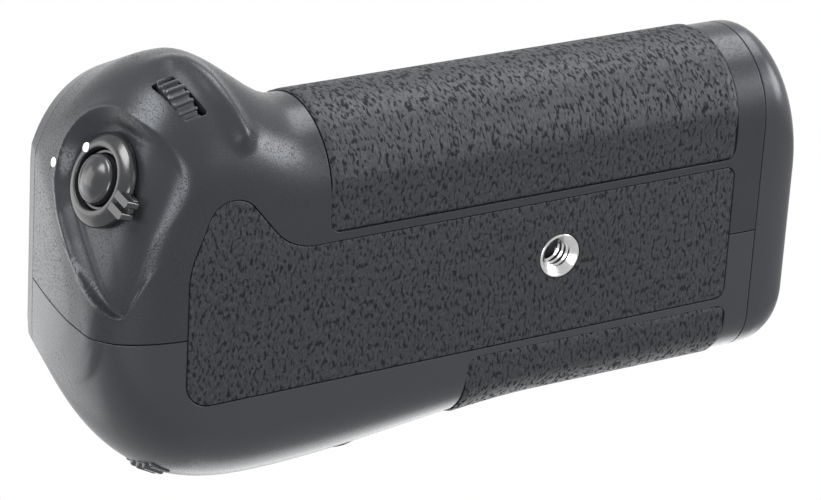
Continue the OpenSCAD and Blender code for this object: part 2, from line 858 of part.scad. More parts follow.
module rear_dial_bracket() { color(steel) at_rear_dial() dial_bracket(rear_dial_place, rear_leg); }

focus_stand = 1.8 * focus_travel;
focus_inner = chamber_back + focus_switch_t + focus_stand;
module focus_button() {
    color(gloss_black)
    at_focus() intersection() {
        translate([0, 0, focus_inner]) cylinder(h = focus_face - focus_inner, d = focus_d);
        translate([0, 0, focus_face - 2 * focus_d]) sphere(r = 2 * focus_d, $fn = 96);
    }
}
module focus_seat() {
    color(gloss_black)
    at_focus() tube(focus_seat_d, focus_bore, chamber_back + focus_switch_t, focus_face - 0.4);
}
module focus_switch() {
    color(pad_black)
    at_focus() union() {
        translate([-focus_seat_d / 2, -focus_seat_d / 2, chamber_back + 0.1])
            cube([focus_seat_d, focus_seat_d, focus_switch_t - 0.15]);
        translate([0, 0, chamber_back + focus_switch_t - 0.1]) cylinder(h = 0.6, d = 3);
    }
}

// The selector pad tilts in a cradle, and the cradle tilts in a fixed base
module selector_pad() {
    color(gloss_black)
    at_selector() union() {
        translate([-gimbal_core / 2, -gimbal_core / 2, -gimbal_t / 2])
            cube([gimbal_core, gimbal_core, gimbal_t]);
        rotate([0, 90, 0]) cylinder(h = gimbal_out - 0.4, d = gimbal_pin_d, center = true);
        cylinder(h = selector_face - selector_pivot - cap_t / 2, d = gimbal_core - 1);
        translate([0, 0, selector_face - selector_pivot - cap_t]) cylinder(h = cap_t, d = selector_d);
    }
}
module selector_cradle() {
    color(tray_grey)
    at_selector() difference() {
        union() {
            translate([-gimbal_out / 2, -gimbal_out / 2, -gimbal_t / 2])
                cube([gimbal_out, gimbal_out, gimbal_t]);
            rotate([90, 0, 0]) cylinder(h = 2 * (post_z + post_t) - 0.4, d = gimbal_pin_d, center = true);
        }
        translate([-gimbal_in / 2, -gimbal_in / 2, -gimbal_t]) cube([gimbal_in, gimbal_in, 2 * gimbal_t]);
        rotate([0, 90, 0]) cylinder(h = far, d = gimbal_pin_d + 2 * run_fit, center = true);
    }
}
module selector_base() {
    base_low = seat_fit - pivot_out;
    width = 2 * (post_z + post_t);
    color(tray_grey)
    at_selector() difference() {
        union() {
            translate([-width / 2, -width / 2, base_low]) cube([width, width, selector_plate_t]);
            for (side = [-1, 1])
                translate([-post_w / 2, side * (post_z + post_t / 2) - post_t / 2, base_low])
                    cube([post_w, post_t, post_top - base_low]);
        }
        rotate([90, 0, 0]) cylinder(h = far, d = gimbal_pin_d + 2 * run_fit, center = true);
    }
}

// Board that carries the dials, hung from posts under the top plate
board_x = [-78, -67.5];
board_front = front_dial_place.y + board_lap;
board_back = rear_dial_place.y + rear_leg[1] - board_lap / 2;
board_posts = [-20, 0, 18];
board_post_d = 3.4;
board_post_inset = 3;
module control_board() {
    color(board_green)
    union() {
        translate([board_x[0], board_front, board_z])
            cube([board_x[1] - board_x[0], board_back - board_front, board_t]);
        for (y = board_posts)
            translate([board_x[1] - board_post_inset, y, board_z])
                cylinder(h = plate_z - board_z, d = board_post_d);
    }
}

module contact_block() {
    color(gloss_black)
    difference() {
        translate([block_place.x - block_size.x / 2, block_place.y - block_size.y / 2, body_h])
            cube([block_size.x, block_size.y, block_h]);
        at_pins() translate([0, 0, body_h - 1]) cylinder(h = block_h + 2, d = pin_d + 2 * glue_line);
    }
}
module at_pins() {
    for (i = [0:pin_columns - 1]) for (j = [0:pin_rows - 1])
        translate([block_place.x + (i - (pin_columns - 1) / 2) * pin_pitch,
            block_place.y + (j - (pin_rows - 1) / 2) * pin_pitch, 0]) children();
}
module contact_pins() {
    color(brass) at_pins() translate([0, 0, body_h]) cylinder(h = block_h + pin_out, d = pin_d);
}
module locating_pins() {
    color(steel)
    for (p = locators) translate([p.x, p.y, body_h]) cylinder(h = locator_h, d = locator_d);
}

// A spur gear outline with straight flanks and a little backlash
module gear_outline(teeth, first) {
    r = gear_m * teeth / 2;
    step = 360 / teeth;
    slack = 0.03;
    polygon([for (i = [0:teeth - 1])
        for (c = [[-0.36, -tooth_ded], [-0.25 + slack, 0], [-0.12, tooth_add],
            [0.12, tooth_add], [0.25 - slack, 0], [0.36, -tooth_ded]])
            (r + c[1] * gear_m) * [cos(first + (i + c[0]) * step), sin(first + (i + c[0]) * step)]]);
}

screw_foot = gear_z - 0.6;
module mount_screw() {
    color(steel)
    union() {
        translate([0, 0, screw_foot]) cylinder(h = body_h - screw_foot, d = journal_d);
        translate([0, 0, body_h - tiny]) cylinder(h = screw_h + tiny, d = screw_d);
    }
}
module screw_gear() {
    color(brass)
    difference() {
        union() {
            translate([0, 0, gear_z + 0.3]) linear_extrude(wheel_h - 0.6)
                gear_outline(screw_teeth, wheel_angle + 180 / screw_teeth);
            translate([0, 0, gear_z + 0.3]) cylinder(h = plate_z - 1 - gear_z - 0.3, d = bush_d);
        }
        translate([0, 0, gear_z - 1]) cylinder(h = far, d = journal_d + glue_line / 2);
    }
}
bush_rim = 1.5;
bush_rim_t = 0.6;
bush_low = plate_z - bush_rim_t - seat_fit;
module screw_bush() {
    color(brass)
    difference() {
        union() {
            translate([0, 0, bush_low]) cylinder(h = plate_t + bush_rim_t, d = bush_d);
            translate([0, 0, bush_low]) cylinder(h = bush_rim_t, d = bush_d + 2 * bush_rim);
        }
        translate([0, 0, bush_low - 1]) cylinder(h = far, d = journal_d + 2 * run_fit);
    }
}
module thumbwheel() {
    color(gloss_black)
    translate([wheel_x, wheel_y, gear_z])
    difference() {
        linear_extrude(wheel_h) gear_outline(wheel_teeth, wheel_angle + 180);
        translate([0, 0, -1]) cylinder(h = wheel_h + 2, d = wheel_axle_d + 2 * run_fit);
    }
}
axle_rim = 1.5;
axle_rim_t = 0.9;
axle_low = gear_z - axle_rim_t - 0.3;
module thumbwheel_axle() {
    color(steel)
    translate([wheel_x, wheel_y, 0]) union() {
        translate([0, 0, axle_low]) cylinder(h = plate_z - axle_low, d = wheel_axle_d);
        for (z = [axle_low, plate_z - axle_rim_t])
            translate([0, 0, z]) cylinder(h = axle_rim_t, d = wheel_axle_d + 2 * axle_rim);
    }
}

module tray_cap() {
    color(shell_black)
    difference() {
        body_form(0, parting + seam_gap, far);
        body_form(-cap_wall, parting - 1, cap_floor);
        at_latch() translate([0, 0, tray_end - key_recess]) cylinder(h = far, d = key_d + 0.6);
        at_latch() cylinder(h = far, d = key_shaft_d + 0.6);
    }
}
module tray_frame() {
    color(tray_grey)
    translate([0, tray_y - tray_w / 2, tray_z0])
    difference() {
        translate([tray_x0 - tray_end_wall, 0, 0]) cube([bay_len + 2 * tray_end_wall, tray_w, tray_h]);
        for (i = [0:bays - 1])
            translate([tray_x0, tray_wall + i * bay_pitch, tray_wall]) cube([bay_len, bay_w, far]);
    }
}

// One contact plate at each end of each bay
contact_t = 0.5;
contact_w = 9;
cell_spring_r = 3.4;
cell_wire = 0.6;
module at_bays() {
    for (i = [0:bays - 1])
        translate([0, tray_y + (i - (bays - 1) / 2) * bay_pitch, tray_z0 + tray_wall + bay_w / 2]) children();
}
module tray_contacts() {
    color(brass)
    at_bays() for (x = [tray_x0, tray_x1 - contact_t])
        translate([x, -contact_w / 2, -contact_w / 2]) cube([contact_t, contact_w, contact_w]);
}
module tray_springs() {
    color(steel)
    at_bays() translate([tray_x0 + contact_t, 0, 0]) rotate([0, 90, 0])
        coil(cell_spring_r, cell_wire, 2, contact_room - 2 * contact_t);
}

module latch_plate() {
    color(steel)
    difference() {
        union() {
            translate([latch_plate_x, tray_y - latch_half.x, chamber_mid_z - latch_half.y])
                cube([latch_plate_t, 2 * latch_half.x, 2 * latch_half.y]);
            for (y = [-spacer_y, spacer_y]) for (z = [-spacer_z, spacer_z])
                translate([tray_x1 + tray_end_wall, tray_y + y, chamber_mid_z + z]) rotate([0, 90, 0])
                    cylinder(h = latch_plate_x - tray_x1 - tray_end_wall + tiny, d = spacer_d);
        }
        at_latch() cylinder(h = far, d = key_shaft_d + 2 * run_fit);
    }
}
module latch_key() {
    color(gloss_black)
    at_latch() union() {
        translate([0, 0, key_x]) cylinder(h = key_disc_t, d = key_d);
        translate([-key_bar_w / 2, 1 - key_d / 2, key_x + key_disc_t - tiny])
            cube([key_bar_w, key_d - 2, key_bar_t]);
        translate([0, 0, arm_x]) cylinder(h = key_x - arm_x + tiny, d = key_shaft_d);
    }
}
module latch_arm() {
    color(steel)
    at_latch() difference() {
        translate([-arm_w / 2, -arm_reach, arm_x]) cube([arm_w, 2 * arm_reach, arm_t]);
        cylinder(h = far, d = key_shaft_d + glue_line / 2);
    }
}

shank_z = plate_z - screw_len + 1;
module housing_screws() {
    color(steel)
    for (p = concat(front_bosses, rear_bosses)) translate([p.x, p.y, 0]) union() {
        translate([0, 0, body_h - head_t - head_sink]) cylinder(h = head_t, d = screw_head_d);
        translate([0, 0, shank_z])
            cylinder(h = body_h - head_t - head_sink - shank_z + tiny, d = screw_shank_d);
    }
}

front_shell();
rear_shell();
top_plate();
battery_chamber();
chamber_terminals();
front_grip_pad();
bottom_grip_pad();
rear_grip_pad();
tripod_bush();
tripod_plate();
shutter_seat();
shutter_button();
shutter_spring();
shutter_switch();
lock_lever();
front_dial();
front_dial_axle();
front_dial_bracket();
rear_dial();
rear_dial_axle();
rear_dial_bracket();
focus_button();
focus_seat();
focus_switch();
selector_pad();
selector_cradle();
selector_base();
control_board();
contact_block();
contact_pins();
locating_pins();
mount_screw();
screw_gear();
screw_bush();
thumbwheel();
thumbwheel_axle();
tray_cap();
tray_frame();
tray_contacts();
tray_springs();
latch_plate();
latch_key();
latch_arm();
housing_screws();
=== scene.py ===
"""Looks of a camera battery grip, modelled around its packed construction.

Sizes are in millimetres, in the part's own frame: the origin is the mouth of the tripod socket, +Z points up
into the camera, +X to the battery tray cap and -Y to the subject. Meshes are written in metres.
"""

from __future__ import annotations

import json
import logging
import math
from dataclasses import dataclass, field
from enum import Enum
from typing import Sequence

import bpy
from mathutils import Matrix, Vector

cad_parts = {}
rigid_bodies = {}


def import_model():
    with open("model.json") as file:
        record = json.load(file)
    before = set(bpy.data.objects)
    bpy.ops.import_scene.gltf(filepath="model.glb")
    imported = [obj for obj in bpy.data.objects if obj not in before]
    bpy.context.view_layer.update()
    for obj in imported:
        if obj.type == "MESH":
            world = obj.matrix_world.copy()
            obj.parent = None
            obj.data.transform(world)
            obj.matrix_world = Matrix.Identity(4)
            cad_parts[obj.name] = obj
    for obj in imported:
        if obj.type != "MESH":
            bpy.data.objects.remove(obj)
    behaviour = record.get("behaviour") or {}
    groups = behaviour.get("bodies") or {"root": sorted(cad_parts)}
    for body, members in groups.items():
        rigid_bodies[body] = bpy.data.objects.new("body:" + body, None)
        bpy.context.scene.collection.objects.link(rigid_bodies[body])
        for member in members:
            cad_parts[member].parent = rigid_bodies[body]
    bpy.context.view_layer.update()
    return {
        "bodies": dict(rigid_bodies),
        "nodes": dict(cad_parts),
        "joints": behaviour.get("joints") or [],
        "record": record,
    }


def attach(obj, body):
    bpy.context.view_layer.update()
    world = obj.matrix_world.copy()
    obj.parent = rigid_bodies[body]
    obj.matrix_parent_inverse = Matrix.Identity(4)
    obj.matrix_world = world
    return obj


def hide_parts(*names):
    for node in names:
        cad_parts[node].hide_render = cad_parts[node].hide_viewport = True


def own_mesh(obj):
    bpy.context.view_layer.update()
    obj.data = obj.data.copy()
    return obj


log = logging.getLogger("battery_grip")

MM = 0.001
Rings = Sequence[Sequence[Vector]]
Pair = tuple[float, float]
Triple = tuple[float, float, float]
Piece = bpy.types.Object


class Bool(Enum):
    """How one solid acts on another."""

    CUT = "DIFFERENCE"
    JOIN = "UNION"
    KEEP = "INTERSECT"


def blend(a: float, b: float, t: float) -> float:
    """The value a share t of the way from a to b."""
    return a + (b - a) * t


def smooth(t: float) -> float:
    """An eased step from 0 to 1."""
    c = min(1.0, max(0.0, t))
    return c * c * (3 - 2 * c)


def dome(t: float, power: float = 2.0) -> float:
    """Height of a unit dome at a share t of its run."""
    c = min(1.0, max(0.0, t))
    return max(0.0, 1 - c**power) ** (1 / power)


def soft_min(a: float, b: float, k: float) -> float:
    """The lesser of two heights, rounded over a width k where they cross."""
    h = max(0.0, k - abs(a - b)) / k
    return min(a, b) - h * h * k / 4


def rounded_outline(corners: Sequence[Triple], steps: int = 8) -> list[Pair]:
    """A closed outline whose corners are arcs.

    Args:
        corners: Corner places with their radii, in order.
        steps: Steps per arc.

    Returns:
        Points of the outline.
    """
    points: list[Pair] = []
    count = len(corners)
    for i, (x, y, r) in enumerate(corners):
        here = Vector((x, y))
        before = (Vector(corners[i - 1][:2]) - here).normalized()
        after = (Vector(corners[(i + 1) % count][:2]) - here).normalized()
        half = before.angle(after) / 2
        run = r / math.tan(half)
        centre = here + (before + after).normalized() * (r / math.sin(half))
        first = here + before * run - centre
        last = here + after * run - centre
        turn = first.angle_signed(last)
        for k in range(steps + 1):
            spot = first.copy()
            spot.rotate(Matrix.Rotation(-turn * k / steps, 2))
            points.append(tuple(centre + spot))
    return points


@dataclass(frozen=True)
class BodyForm:
    """Outer form of the grip, as sections across its length."""

    shutter_end: float = 89.3
    tray_end: float = 52.0
    height: float = 38.0
    front_reach: float = 32.5
    back_reach: float = 28.8
    nose_reach: float = 41.4
    heel_reach: float = 35.8
    front_round: float = 14.5
    nose_round: float = 19.0
    back_round: float = 10.0
    heel_round: float = 16.0
    front_lean: float = 27.0
    heel_lean: float = 24.0
    tray_end_round: float = 7.0
    neck_start: float = -50.0
    neck_end: float = -68.0
    nose_x: float = -68.0
    heel_start: float = 0.0
    heel_x: float = -56.0
    low_x: float = -70.0
    high_x: float = -85.8
    end_y: float = 2.0
    end_low: float = 9.5
    end_high: float = 14.5
    end_skip: float = 0.02
    end_soft: float = 2.8
    end_soft_x: float = -79.0
    end_soft_run: float = 11.0
    slim: float = 24.0
    least_round: float = 0.02
    most_round: float = 0.46
    rise_room: float = 1.02
    nose_power: float = 2.45
    heel_power: float = 2.42
    low_power: float = 2.2
    high_power: float = 0.7
    tray_front: float = 13.0
    tray_back: float = 4.0
    tray_low: float = 2.0
    tray_high: float = 4.8

    def nose_share(self, x: float) -> float:
        """Share of the nose in the section at x."""
        return smooth((self.neck_start - x) / (self.neck_start - self.neck_end))

    def heel_share(self, x: float) -> float:
        """Share of the palm heel in the section at x."""
        return smooth((self.heel_start - x) / (self.heel_start - self.heel_x))

    def end_dome(self, x: float, start: float, g: float, power: float) -> float:
        """How much of the section is left on the rounded shutter end."""
        return dome((start - x) / (start + self.shutter_end + g), power) if x < start else 1.0

    def tray_drop(self, x: float, g: float) -> float:
        """How far the section is drawn in at the tray end."""
        return 1 - dome((x - (self.tray_end + g - self.tray_end_round)) / self.tray_end_round)

    def front_edge(self, x: float, g: float) -> float:
        """Foremost place of the section."""
        reach = blend(self.front_reach, self.nose_reach, self.nose_share(x)) + self.end_y
        edge = self.end_y - reach * self.end_dome(x, self.nose_x, g, self.nose_power)
        return edge - g + self.tray_front * self.tray_drop(x, g)

    def back_edge(self, x: float, g: float) -> float:
        """Rearmost place of the section."""
        reach = blend(self.back_reach, self.heel_reach, self.heel_share(x)) - self.end_y
        edge = self.end_y + reach * self.end_dome(x, self.heel_x, g, self.heel_power)
        return edge + g - self.tray_back * self.tray_drop(x, g)

    def low_edge(self, x: float, g: float) -> float:
        """Lowest place of the section."""
        rise = self.end_low * (1 - self.end_dome(x, self.low_x, g, self.low_power))
        return rise - g + self.tray_low * self.tray_drop(x, g)

    def high_edge(self, x: float, g: float) -> float:
        """Highest place of the section."""
        left = min(1.0, max(0.0, (x + self.shutter_end + g) / (self.high_x + self.shutter_end + g)))
        top = blend(self.end_high, self.height, left**self.high_power)
        return top + g - self.tray_high * self.tray_drop(x, g)

    def side(self, x: float, g: float, front: bool) -> Pair:
        """Lower rounding and lean of one side.

        Args:
            x: Place along the length.
            g: Growth of the form.
            front: The front side, or else the back.

        Returns:
            The radius and the lean in radians.
        """
        share = self.nose_share(x) if front else self.heel_share(x)
        across = self.back_edge(x, g) - self.front_edge(x, g)
        steep = self.front_lean if front else self.heel_lean * share
        lean = math.radians(steep) * min(1.0, across / self.slim)
        rounds = (self.front_round, self.nose_round) if front else (self.back_round, self.heel_round)
        r = blend(*rounds, share)
        tall = (self.high_edge(x, g) - self.low_edge(x, g)) / (self.rise_room + math.sin(lean))
        return max(self.least_round, min(r + g, self.most_round * across, tall)), lean

    def inset(self, h: float, r: float, lean: float) -> float:
        """How far a side stands in from its edge at height h."""
        bend = r * (1 + math.sin(lean))
        if h <= bend:
            return r - math.sqrt(max(0.0, r * r - (r - h) ** 2))
        return r * (1 - math.cos(lean)) + (h - bend) * math.tan(lean)

    def profile(self, x: float, g: float, front: bool, arc_steps: int, rise_steps: int) -> list[Vector]:
        """One side of the section at x, from the bottom up.

        Args:
            x: Place along the length.
            g: Growth of the form.
            front: The front side, or else the back.
            arc_steps: Steps around the lower rounding.
            rise_steps: Steps up the straight rise.

        Returns:
            The points, in millimetres.
        """
        r, lean = self.side(x, g, front)
        low = self.low_edge(x, g)
        tall = self.high_edge(x, g) - low
        bend = r * (1 + math.sin(lean))
        heights = [r * (1 - math.cos((math.pi / 2 + lean) * i / arc_steps)) for i in range(arc_steps + 1)]
        heights += [blend(bend, tall, (i + 1) / rise_steps) for i in range(rise_steps)]
        edge, way = (self.front_edge(x, g), 1) if front else (self.back_edge(x, g), -1)
        return [Vector((x, edge + way * self.inset(h, r, lean), low + h)) for h in heights]

    def section(self, x: float, g: float, detail: "Detail") -> list[Vector]:
        """A closed section at x, from the front foot over the top and round under the bottom."""
        up = self.profile(x, g, True, detail.front_arc, detail.front_rise)
        down = list(reversed(self.profile(x, g, False, detail.back_arc, detail.back_rise)))
        top = [up[-1].lerp(down[0], (i + 1) / detail.flat) for i in range(detail.flat - 1)]
        bottom = [down[-1].lerp(up[0], (i + 1) / detail.flat) for i in range(detail.flat - 1)]
        worn = self.end_soft * smooth((self.end_soft_x - x) / self.end_soft_run)
        return self.softened(up + top + down + bottom, worn)

    @staticmethod
    def softened(ring: list[Vector], width: float) -> list[Vector]:
        """A closed ring with its corners worn down.

        Args:
            ring: Points of the ring.
            width: How far along the ring each point is averaged.

        Returns:
            The worn ring.
        """
        least_width, far = 0.05, 2.4
        if width < least_width:
            return ring
        count = len(ring)
        steps = [(ring[(i + 1) % count] - p).length for i, p in enumerate(ring)]
        weights = [(steps[i - 1] + steps[i]) / 2 for i in range(count)]
        worn = []
        for i in range(count):
            total, spot = weights[i], ring[i] * weights[i]
            for way in (1, -1):
                run, j = 0.0, i
                while True:
                    run += steps[j] if way > 0 else steps[j - 1]
                    j = (j + way) % count
                    if run > far * width or j == i:
                        break
                    share = weights[j] * math.exp(-((run / width) ** 2))
                    spot = spot + ring[j] * share
                    total += share
            worn.append(spot / total)
        return worn

    def stations(self, g: float, first: float, last: float, detail: "Detail") -> list[float]:
        """Places of the sections between two places along the length."""
        left = -self.shutter_end - g + self.end_skip
        right = self.tray_end + g
        straight = right - self.tray_end_round
        turns = [math.pi / 2 * i / detail.end for i in range(detail.end)]
        places = [blend(left, self.heel_x, 1 - math.cos(a)) for a in turns]
        places += [blend(self.heel_x, self.heel_start, i / detail.body) for i in range(detail.body)]
        places += [blend(self.heel_start, straight, i / detail.body) for i in range(detail.body)]
        quarter = [math.sin(math.pi / 2 * i / detail.body) for i in range(detail.body + 1)]
        places += [straight + self.tray_end_round * s for s in quarter]
        start, stop = max(first, left), min(last, right)
        return [start] + [x for x in places if start + self.end_skip < x < stop - self.end_skip] + [stop]


@dataclass(frozen=True)
class Detail:
    """How finely a form is drawn: steps round its sides, up them, across it and along it."""

    front_arc: int = 14
    front_rise: int = 4
    back_arc: int = 14
    back_rise: int = 4
    flat: int = 6
    end: int = 24
    body: int = 14


PLAIN = Detail()
FRONT_SKIN = Detail(front_arc=112, front_rise=44, flat=60, end=180, body=24)
REAR_SKIN = Detail(back_arc=40, back_rise=20, flat=10, end=90, body=30)
PLATE_SKIN = Detail(12, 24, 12, 24, 12, 70, 24)
CAP_SKIN = Detail(30, 16, 30, 16, 24, 24, 24)


class Studio:
    """Small modelling bench: adds primitives, shapes them and applies modifiers."""

    @staticmethod
    def only(obj: Piece) -> None:
        """Selects one object and makes it active."""
        bpy.ops.object.select_all(action="DESELECT")
        obj.select_set(True)
        bpy.context.view_layer.objects.active = obj

    @staticmethod
    def named(name: str) -> Piece:
        """Names the object that was just added."""
        obj = bpy.context.active_object
        obj.name = name
        obj.data.name = name
        return obj

    @staticmethod
    def loft(name: str, rings: Rings) -> Piece:
        """A skin through closed rings of equal count, made from one grid.

        Args:
            name: Name of the object.
            rings: Rings of points, in millimetres.

        Returns:
            The object, with its ends closed and its normals outwards.
        """
        count = len(rings[0])
        bpy.ops.object.select_all(action="DESELECT")
        bpy.ops.mesh.primitive_grid_add(x_subdivisions=len(rings) - 1, y_subdivisions=count, size=2)
        obj = Studio.named(name)
        for vertex in obj.data.vertices:
            i = round((vertex.co.x + 1) / 2 * (len(rings) - 1))
            j = round((vertex.co.y + 1) / 2 * count) % count
            vertex.co = rings[i][j] * MM
        bpy.ops.object.mode_set(mode="EDIT")
        bpy.ops.mesh.select_all(action="SELECT")
        bpy.ops.mesh.remove_doubles(threshold=1e-7)
        Studio.fill_ends()
        bpy.ops.mesh.select_all(action="SELECT")
        bpy.ops.mesh.normals_make_consistent(inside=False)
        bpy.ops.object.mode_set(mode="OBJECT")
        return obj

    @staticmethod
    def fill_ends() -> None:
        """Closes the open ends of the mesh in edit mode."""
        bpy.ops.mesh.select_all(action="DESELECT")
        bpy.ops.mesh.select_mode(type="EDGE")
        bpy.ops.mesh.select_non_manifold(
            extend=False, use_multi_face=False, use_non_contiguous=False, use_verts=False
        )
        bpy.ops.mesh.edge_face_add()
        bpy.ops.mesh.select_mode(type="VERT")

    @staticmethod
    def turned(name: str, profile: Sequence[Pair], steps: int, place: Matrix = Matrix()) -> Piece:
        """A turned solid about its own Z.

        Args:
            name: Name of the object.
            profile: Radius and height of each ring, from one end to the other.
            steps: Points around.
            place: Where it goes, in millimetres.

        Returns:
            The object.
        """
        turns = [2 * math.pi * j / steps for j in range(steps)]
        rings = [[place @ Vector((r * math.cos(a), r * math.sin(a), z)) for a in turns] for r, z in profile]
        return Studio.loft(name, rings)

    @staticmethod
    def prism(name: str, outline: Sequence[Pair], low: float, high: float, place: Matrix = Matrix()) -> Piece:
        """A straight prism over an outline, in millimetres."""
        rings = [[place @ Vector((x, y, z)) for x, y in outline] for z in (low, high)]
        return Studio.loft(name, rings)

    @staticmethod
    def block(name: str, low: Triple, high: Triple) -> Piece:
        """A box between two corners, in millimetres, for cutting with."""
        corners = [(low[0], low[1]), (high[0], low[1]), (high[0], high[1]), (low[0], high[1])]
        return Studio.prism(name, corners, low[2], high[2])

    @staticmethod
    def combine(target: Piece, tool: Piece, how: Bool) -> Piece:
        """Applies one solid to another and removes the tool.

        Args:
            target: The solid that stays.
            tool: The solid that acts on it.
            how: What it does.

        Returns:
            The target.
        """
        step = target.modifiers.new("combine", "BOOLEAN")
        step.operation = how.value
        step.solver = "MANIFOLD"
        step.object = tool
        Studio.apply(target, step)
        bpy.data.objects.remove(tool)
        return target

    @staticmethod
    def bore(target: Piece, profile: Sequence[Pair], steps: int, place: Matrix = Matrix()) -> Piece:
        """Bores a turned hole into a solid, given by radius and height of its steps."""
        return Studio.combine(target, Studio.turned("hole", profile, steps, place), Bool.CUT)

    @staticmethod
    def drill(target: Piece, r: float, ends: Pair, steps: int, place: Matrix = Matrix()) -> Piece:
        """Drills a straight hole into a solid, between two heights."""
        return Studio.bore(target, [(r, ends[0]), (r, ends[1])], steps, place)

    @staticmethod
    def apply(obj: Piece, step: bpy.types.Modifier) -> None:
        """Applies a modifier."""
        Studio.only(obj)
        bpy.ops.object.modifier_apply(modifier=step.name)

    @staticmethod
    def smooth_shade(obj: Piece, angle: float) -> Piece:
        """Shades an object smooth up to an edge angle."""
        Studio.only(obj)
        bpy.ops.object.shade_smooth_by_angle(angle=math.radians(angle))
        return obj


class Signal:
    """A shader value with arithmetic."""

    def __init__(self, graph: "Nodes", socket: bpy.types.NodeSocket) -> None:
        """Wraps an output socket."""
        self.graph = graph
        self.socket = socket

    def _math(self, kind: str, *values: object) -> "Signal":
        """One Math node on values and sockets."""
        return self.graph.node("ShaderNodeMath", {"operation": kind}, dict(enumerate(values))).out()

    def __add__(self, other: object) -> "Signal":
        """Sum."""
        return self._math("ADD", self, other)

    __radd__ = __add__

    def __mul__(self, other: object) -> "Signal":
        """Product."""
        return self._math("MULTIPLY", self, other)

    __rmul__ = __mul__

    def __sub__(self, other: object) -> "Signal":
        """Difference."""
        return self._math("SUBTRACT", self, other)

    def __rsub__(self, other: object) -> "Signal":
        """Difference, reflected."""
        return self._math("SUBTRACT", other, self)

    def most(self, other: object) -> "Signal":
        """The greater of two values."""
        return self._math("MAXIMUM", self, other)

    def step(self, low: float, high: float) -> "Signal":
        """An eased step between two values."""
        settings = {"interpolation_type": "SMOOTHSTEP"}
        inputs = {"Value": self, "From Min": low, "From Max": high}
        return self.graph.node("ShaderNodeMapRange", settings, inputs).out()


class Made:
    """A node that was added to a graph."""

    def __init__(self, graph: "Nodes", node: bpy.types.Node) -> None:
        """Wraps a node."""
        self.graph = graph
        self.node = node

    def out(self, name: str | int = 0) -> Signal:
        """One of the node's outputs."""
        return Signal(self.graph, self.node.outputs[name])


class Nodes:
    """A shader tree that nodes are added to."""

    def __init__(self, tree: bpy.types.NodeTree) -> None:
        """Wraps a tree."""
        self.tree = tree

    def node(self, kind: str, settings: dict | None = None, inputs: dict | None = None) -> Made:
        """Adds a node.

        Args:
            kind: Type of the node.
            settings: Its properties, set first.
            inputs: Values or signals of its sockets.

        Returns:
            The node.
        """
        node = self.tree.nodes.new(kind)
        for key, value in (settings or {}).items():
            setattr(node, key, value)
        for key, value in (inputs or {}).items():
            self.feed(node.inputs[key], value)
        return Made(self, node)

    def feed(self, socket: bpy.types.NodeSocket, value: object) -> None:
        """Sets a socket to a value or links a signal to it."""
        if isinstance(value, Signal):
            self.tree.links.new(value.socket, socket)
        else:
            socket.default_value = value


class Graph(Nodes):
    """Shader graph of one material."""

    def __init__(self, name: str) -> None:
        """Starts a material with an empty Principled surface."""
        self.material = bpy.data.materials.new(name)
        self.material.use_nodes = True
        super().__init__(self.material.node_tree)
        self.surface = self.tree.nodes["Principled BSDF"]
        self.place = self.node("ShaderNodeTexCoord").out("Object")

    def set(self, **values: object) -> None:
        """Sets sockets of the surface, with underscores for spaces."""
        for key, value in values.items():
            self.feed(self.surface.inputs[key.replace("_", " ")], value)

    def noise(self, size: float, detail: float, stretch: Triple = (1, 1, 1), twist: float = 0.0) -> Signal:
        """Noise whose features are about a size in millimetres.

        Args:
            size: Size of the features.
            detail: Finer layers.
            stretch: Scale along each axis.
            twist: How far the features wander.

        Returns:
            The noise.
        """
        spread = self.stretched(stretch)
        inputs = {"Vector": spread, "Scale": 1 / (size * MM), "Detail": detail, "Distortion": twist}
        return self.node("ShaderNodeTexNoise", None, inputs).out()

    def stretched(self, stretch: Triple) -> Signal:
        """Object coordinates, scaled along each axis."""
        if stretch == (1, 1, 1):
            return self.place
        return self.node("ShaderNodeMapping", None, {"Vector": self.place, "Scale": stretch}).out()

    def mix(self, share: object, first: object, second: object) -> Signal:
        """A mix of two colours."""
        made = self.node("ShaderNodeMix", {"data_type": "RGBA"})
        for index, value in ((0, share), (6, first), (7, second)):
            self.feed(made.node.inputs[index], value)
        return made.out(2)

    def bump(self, height: Signal, depth: float, strength: float, normal: Signal | None = None) -> Signal:
        """A bump whose height is in millimetres."""
        inputs = {"Height": height, "Distance": depth * MM, "Strength": strength}
        if normal is not None:
            inputs["Normal"] = normal
        return self.node("ShaderNodeBump", None, inputs).out()

    def edge_round(self, r: float) -> Signal:
        """Normals rounded over the edges, with a radius in millimetres."""
        return self.node("ShaderNodeBevel", {"samples": 6}, {"Radius": r * MM}).out()


Colour = tuple[float, float, float, float]


def grey(value: float, tint: Sequence[float] = (1.0, 1.0, 1.0)) -> Colour:
    """A linear grey with a tint."""
    return (value * tint[0], value * tint[1], value * tint[2], 1.0)


COOL = (0.94, 0.97, 1.1)
SHEEN = (0.9, 0.94, 1.0, 1.0)


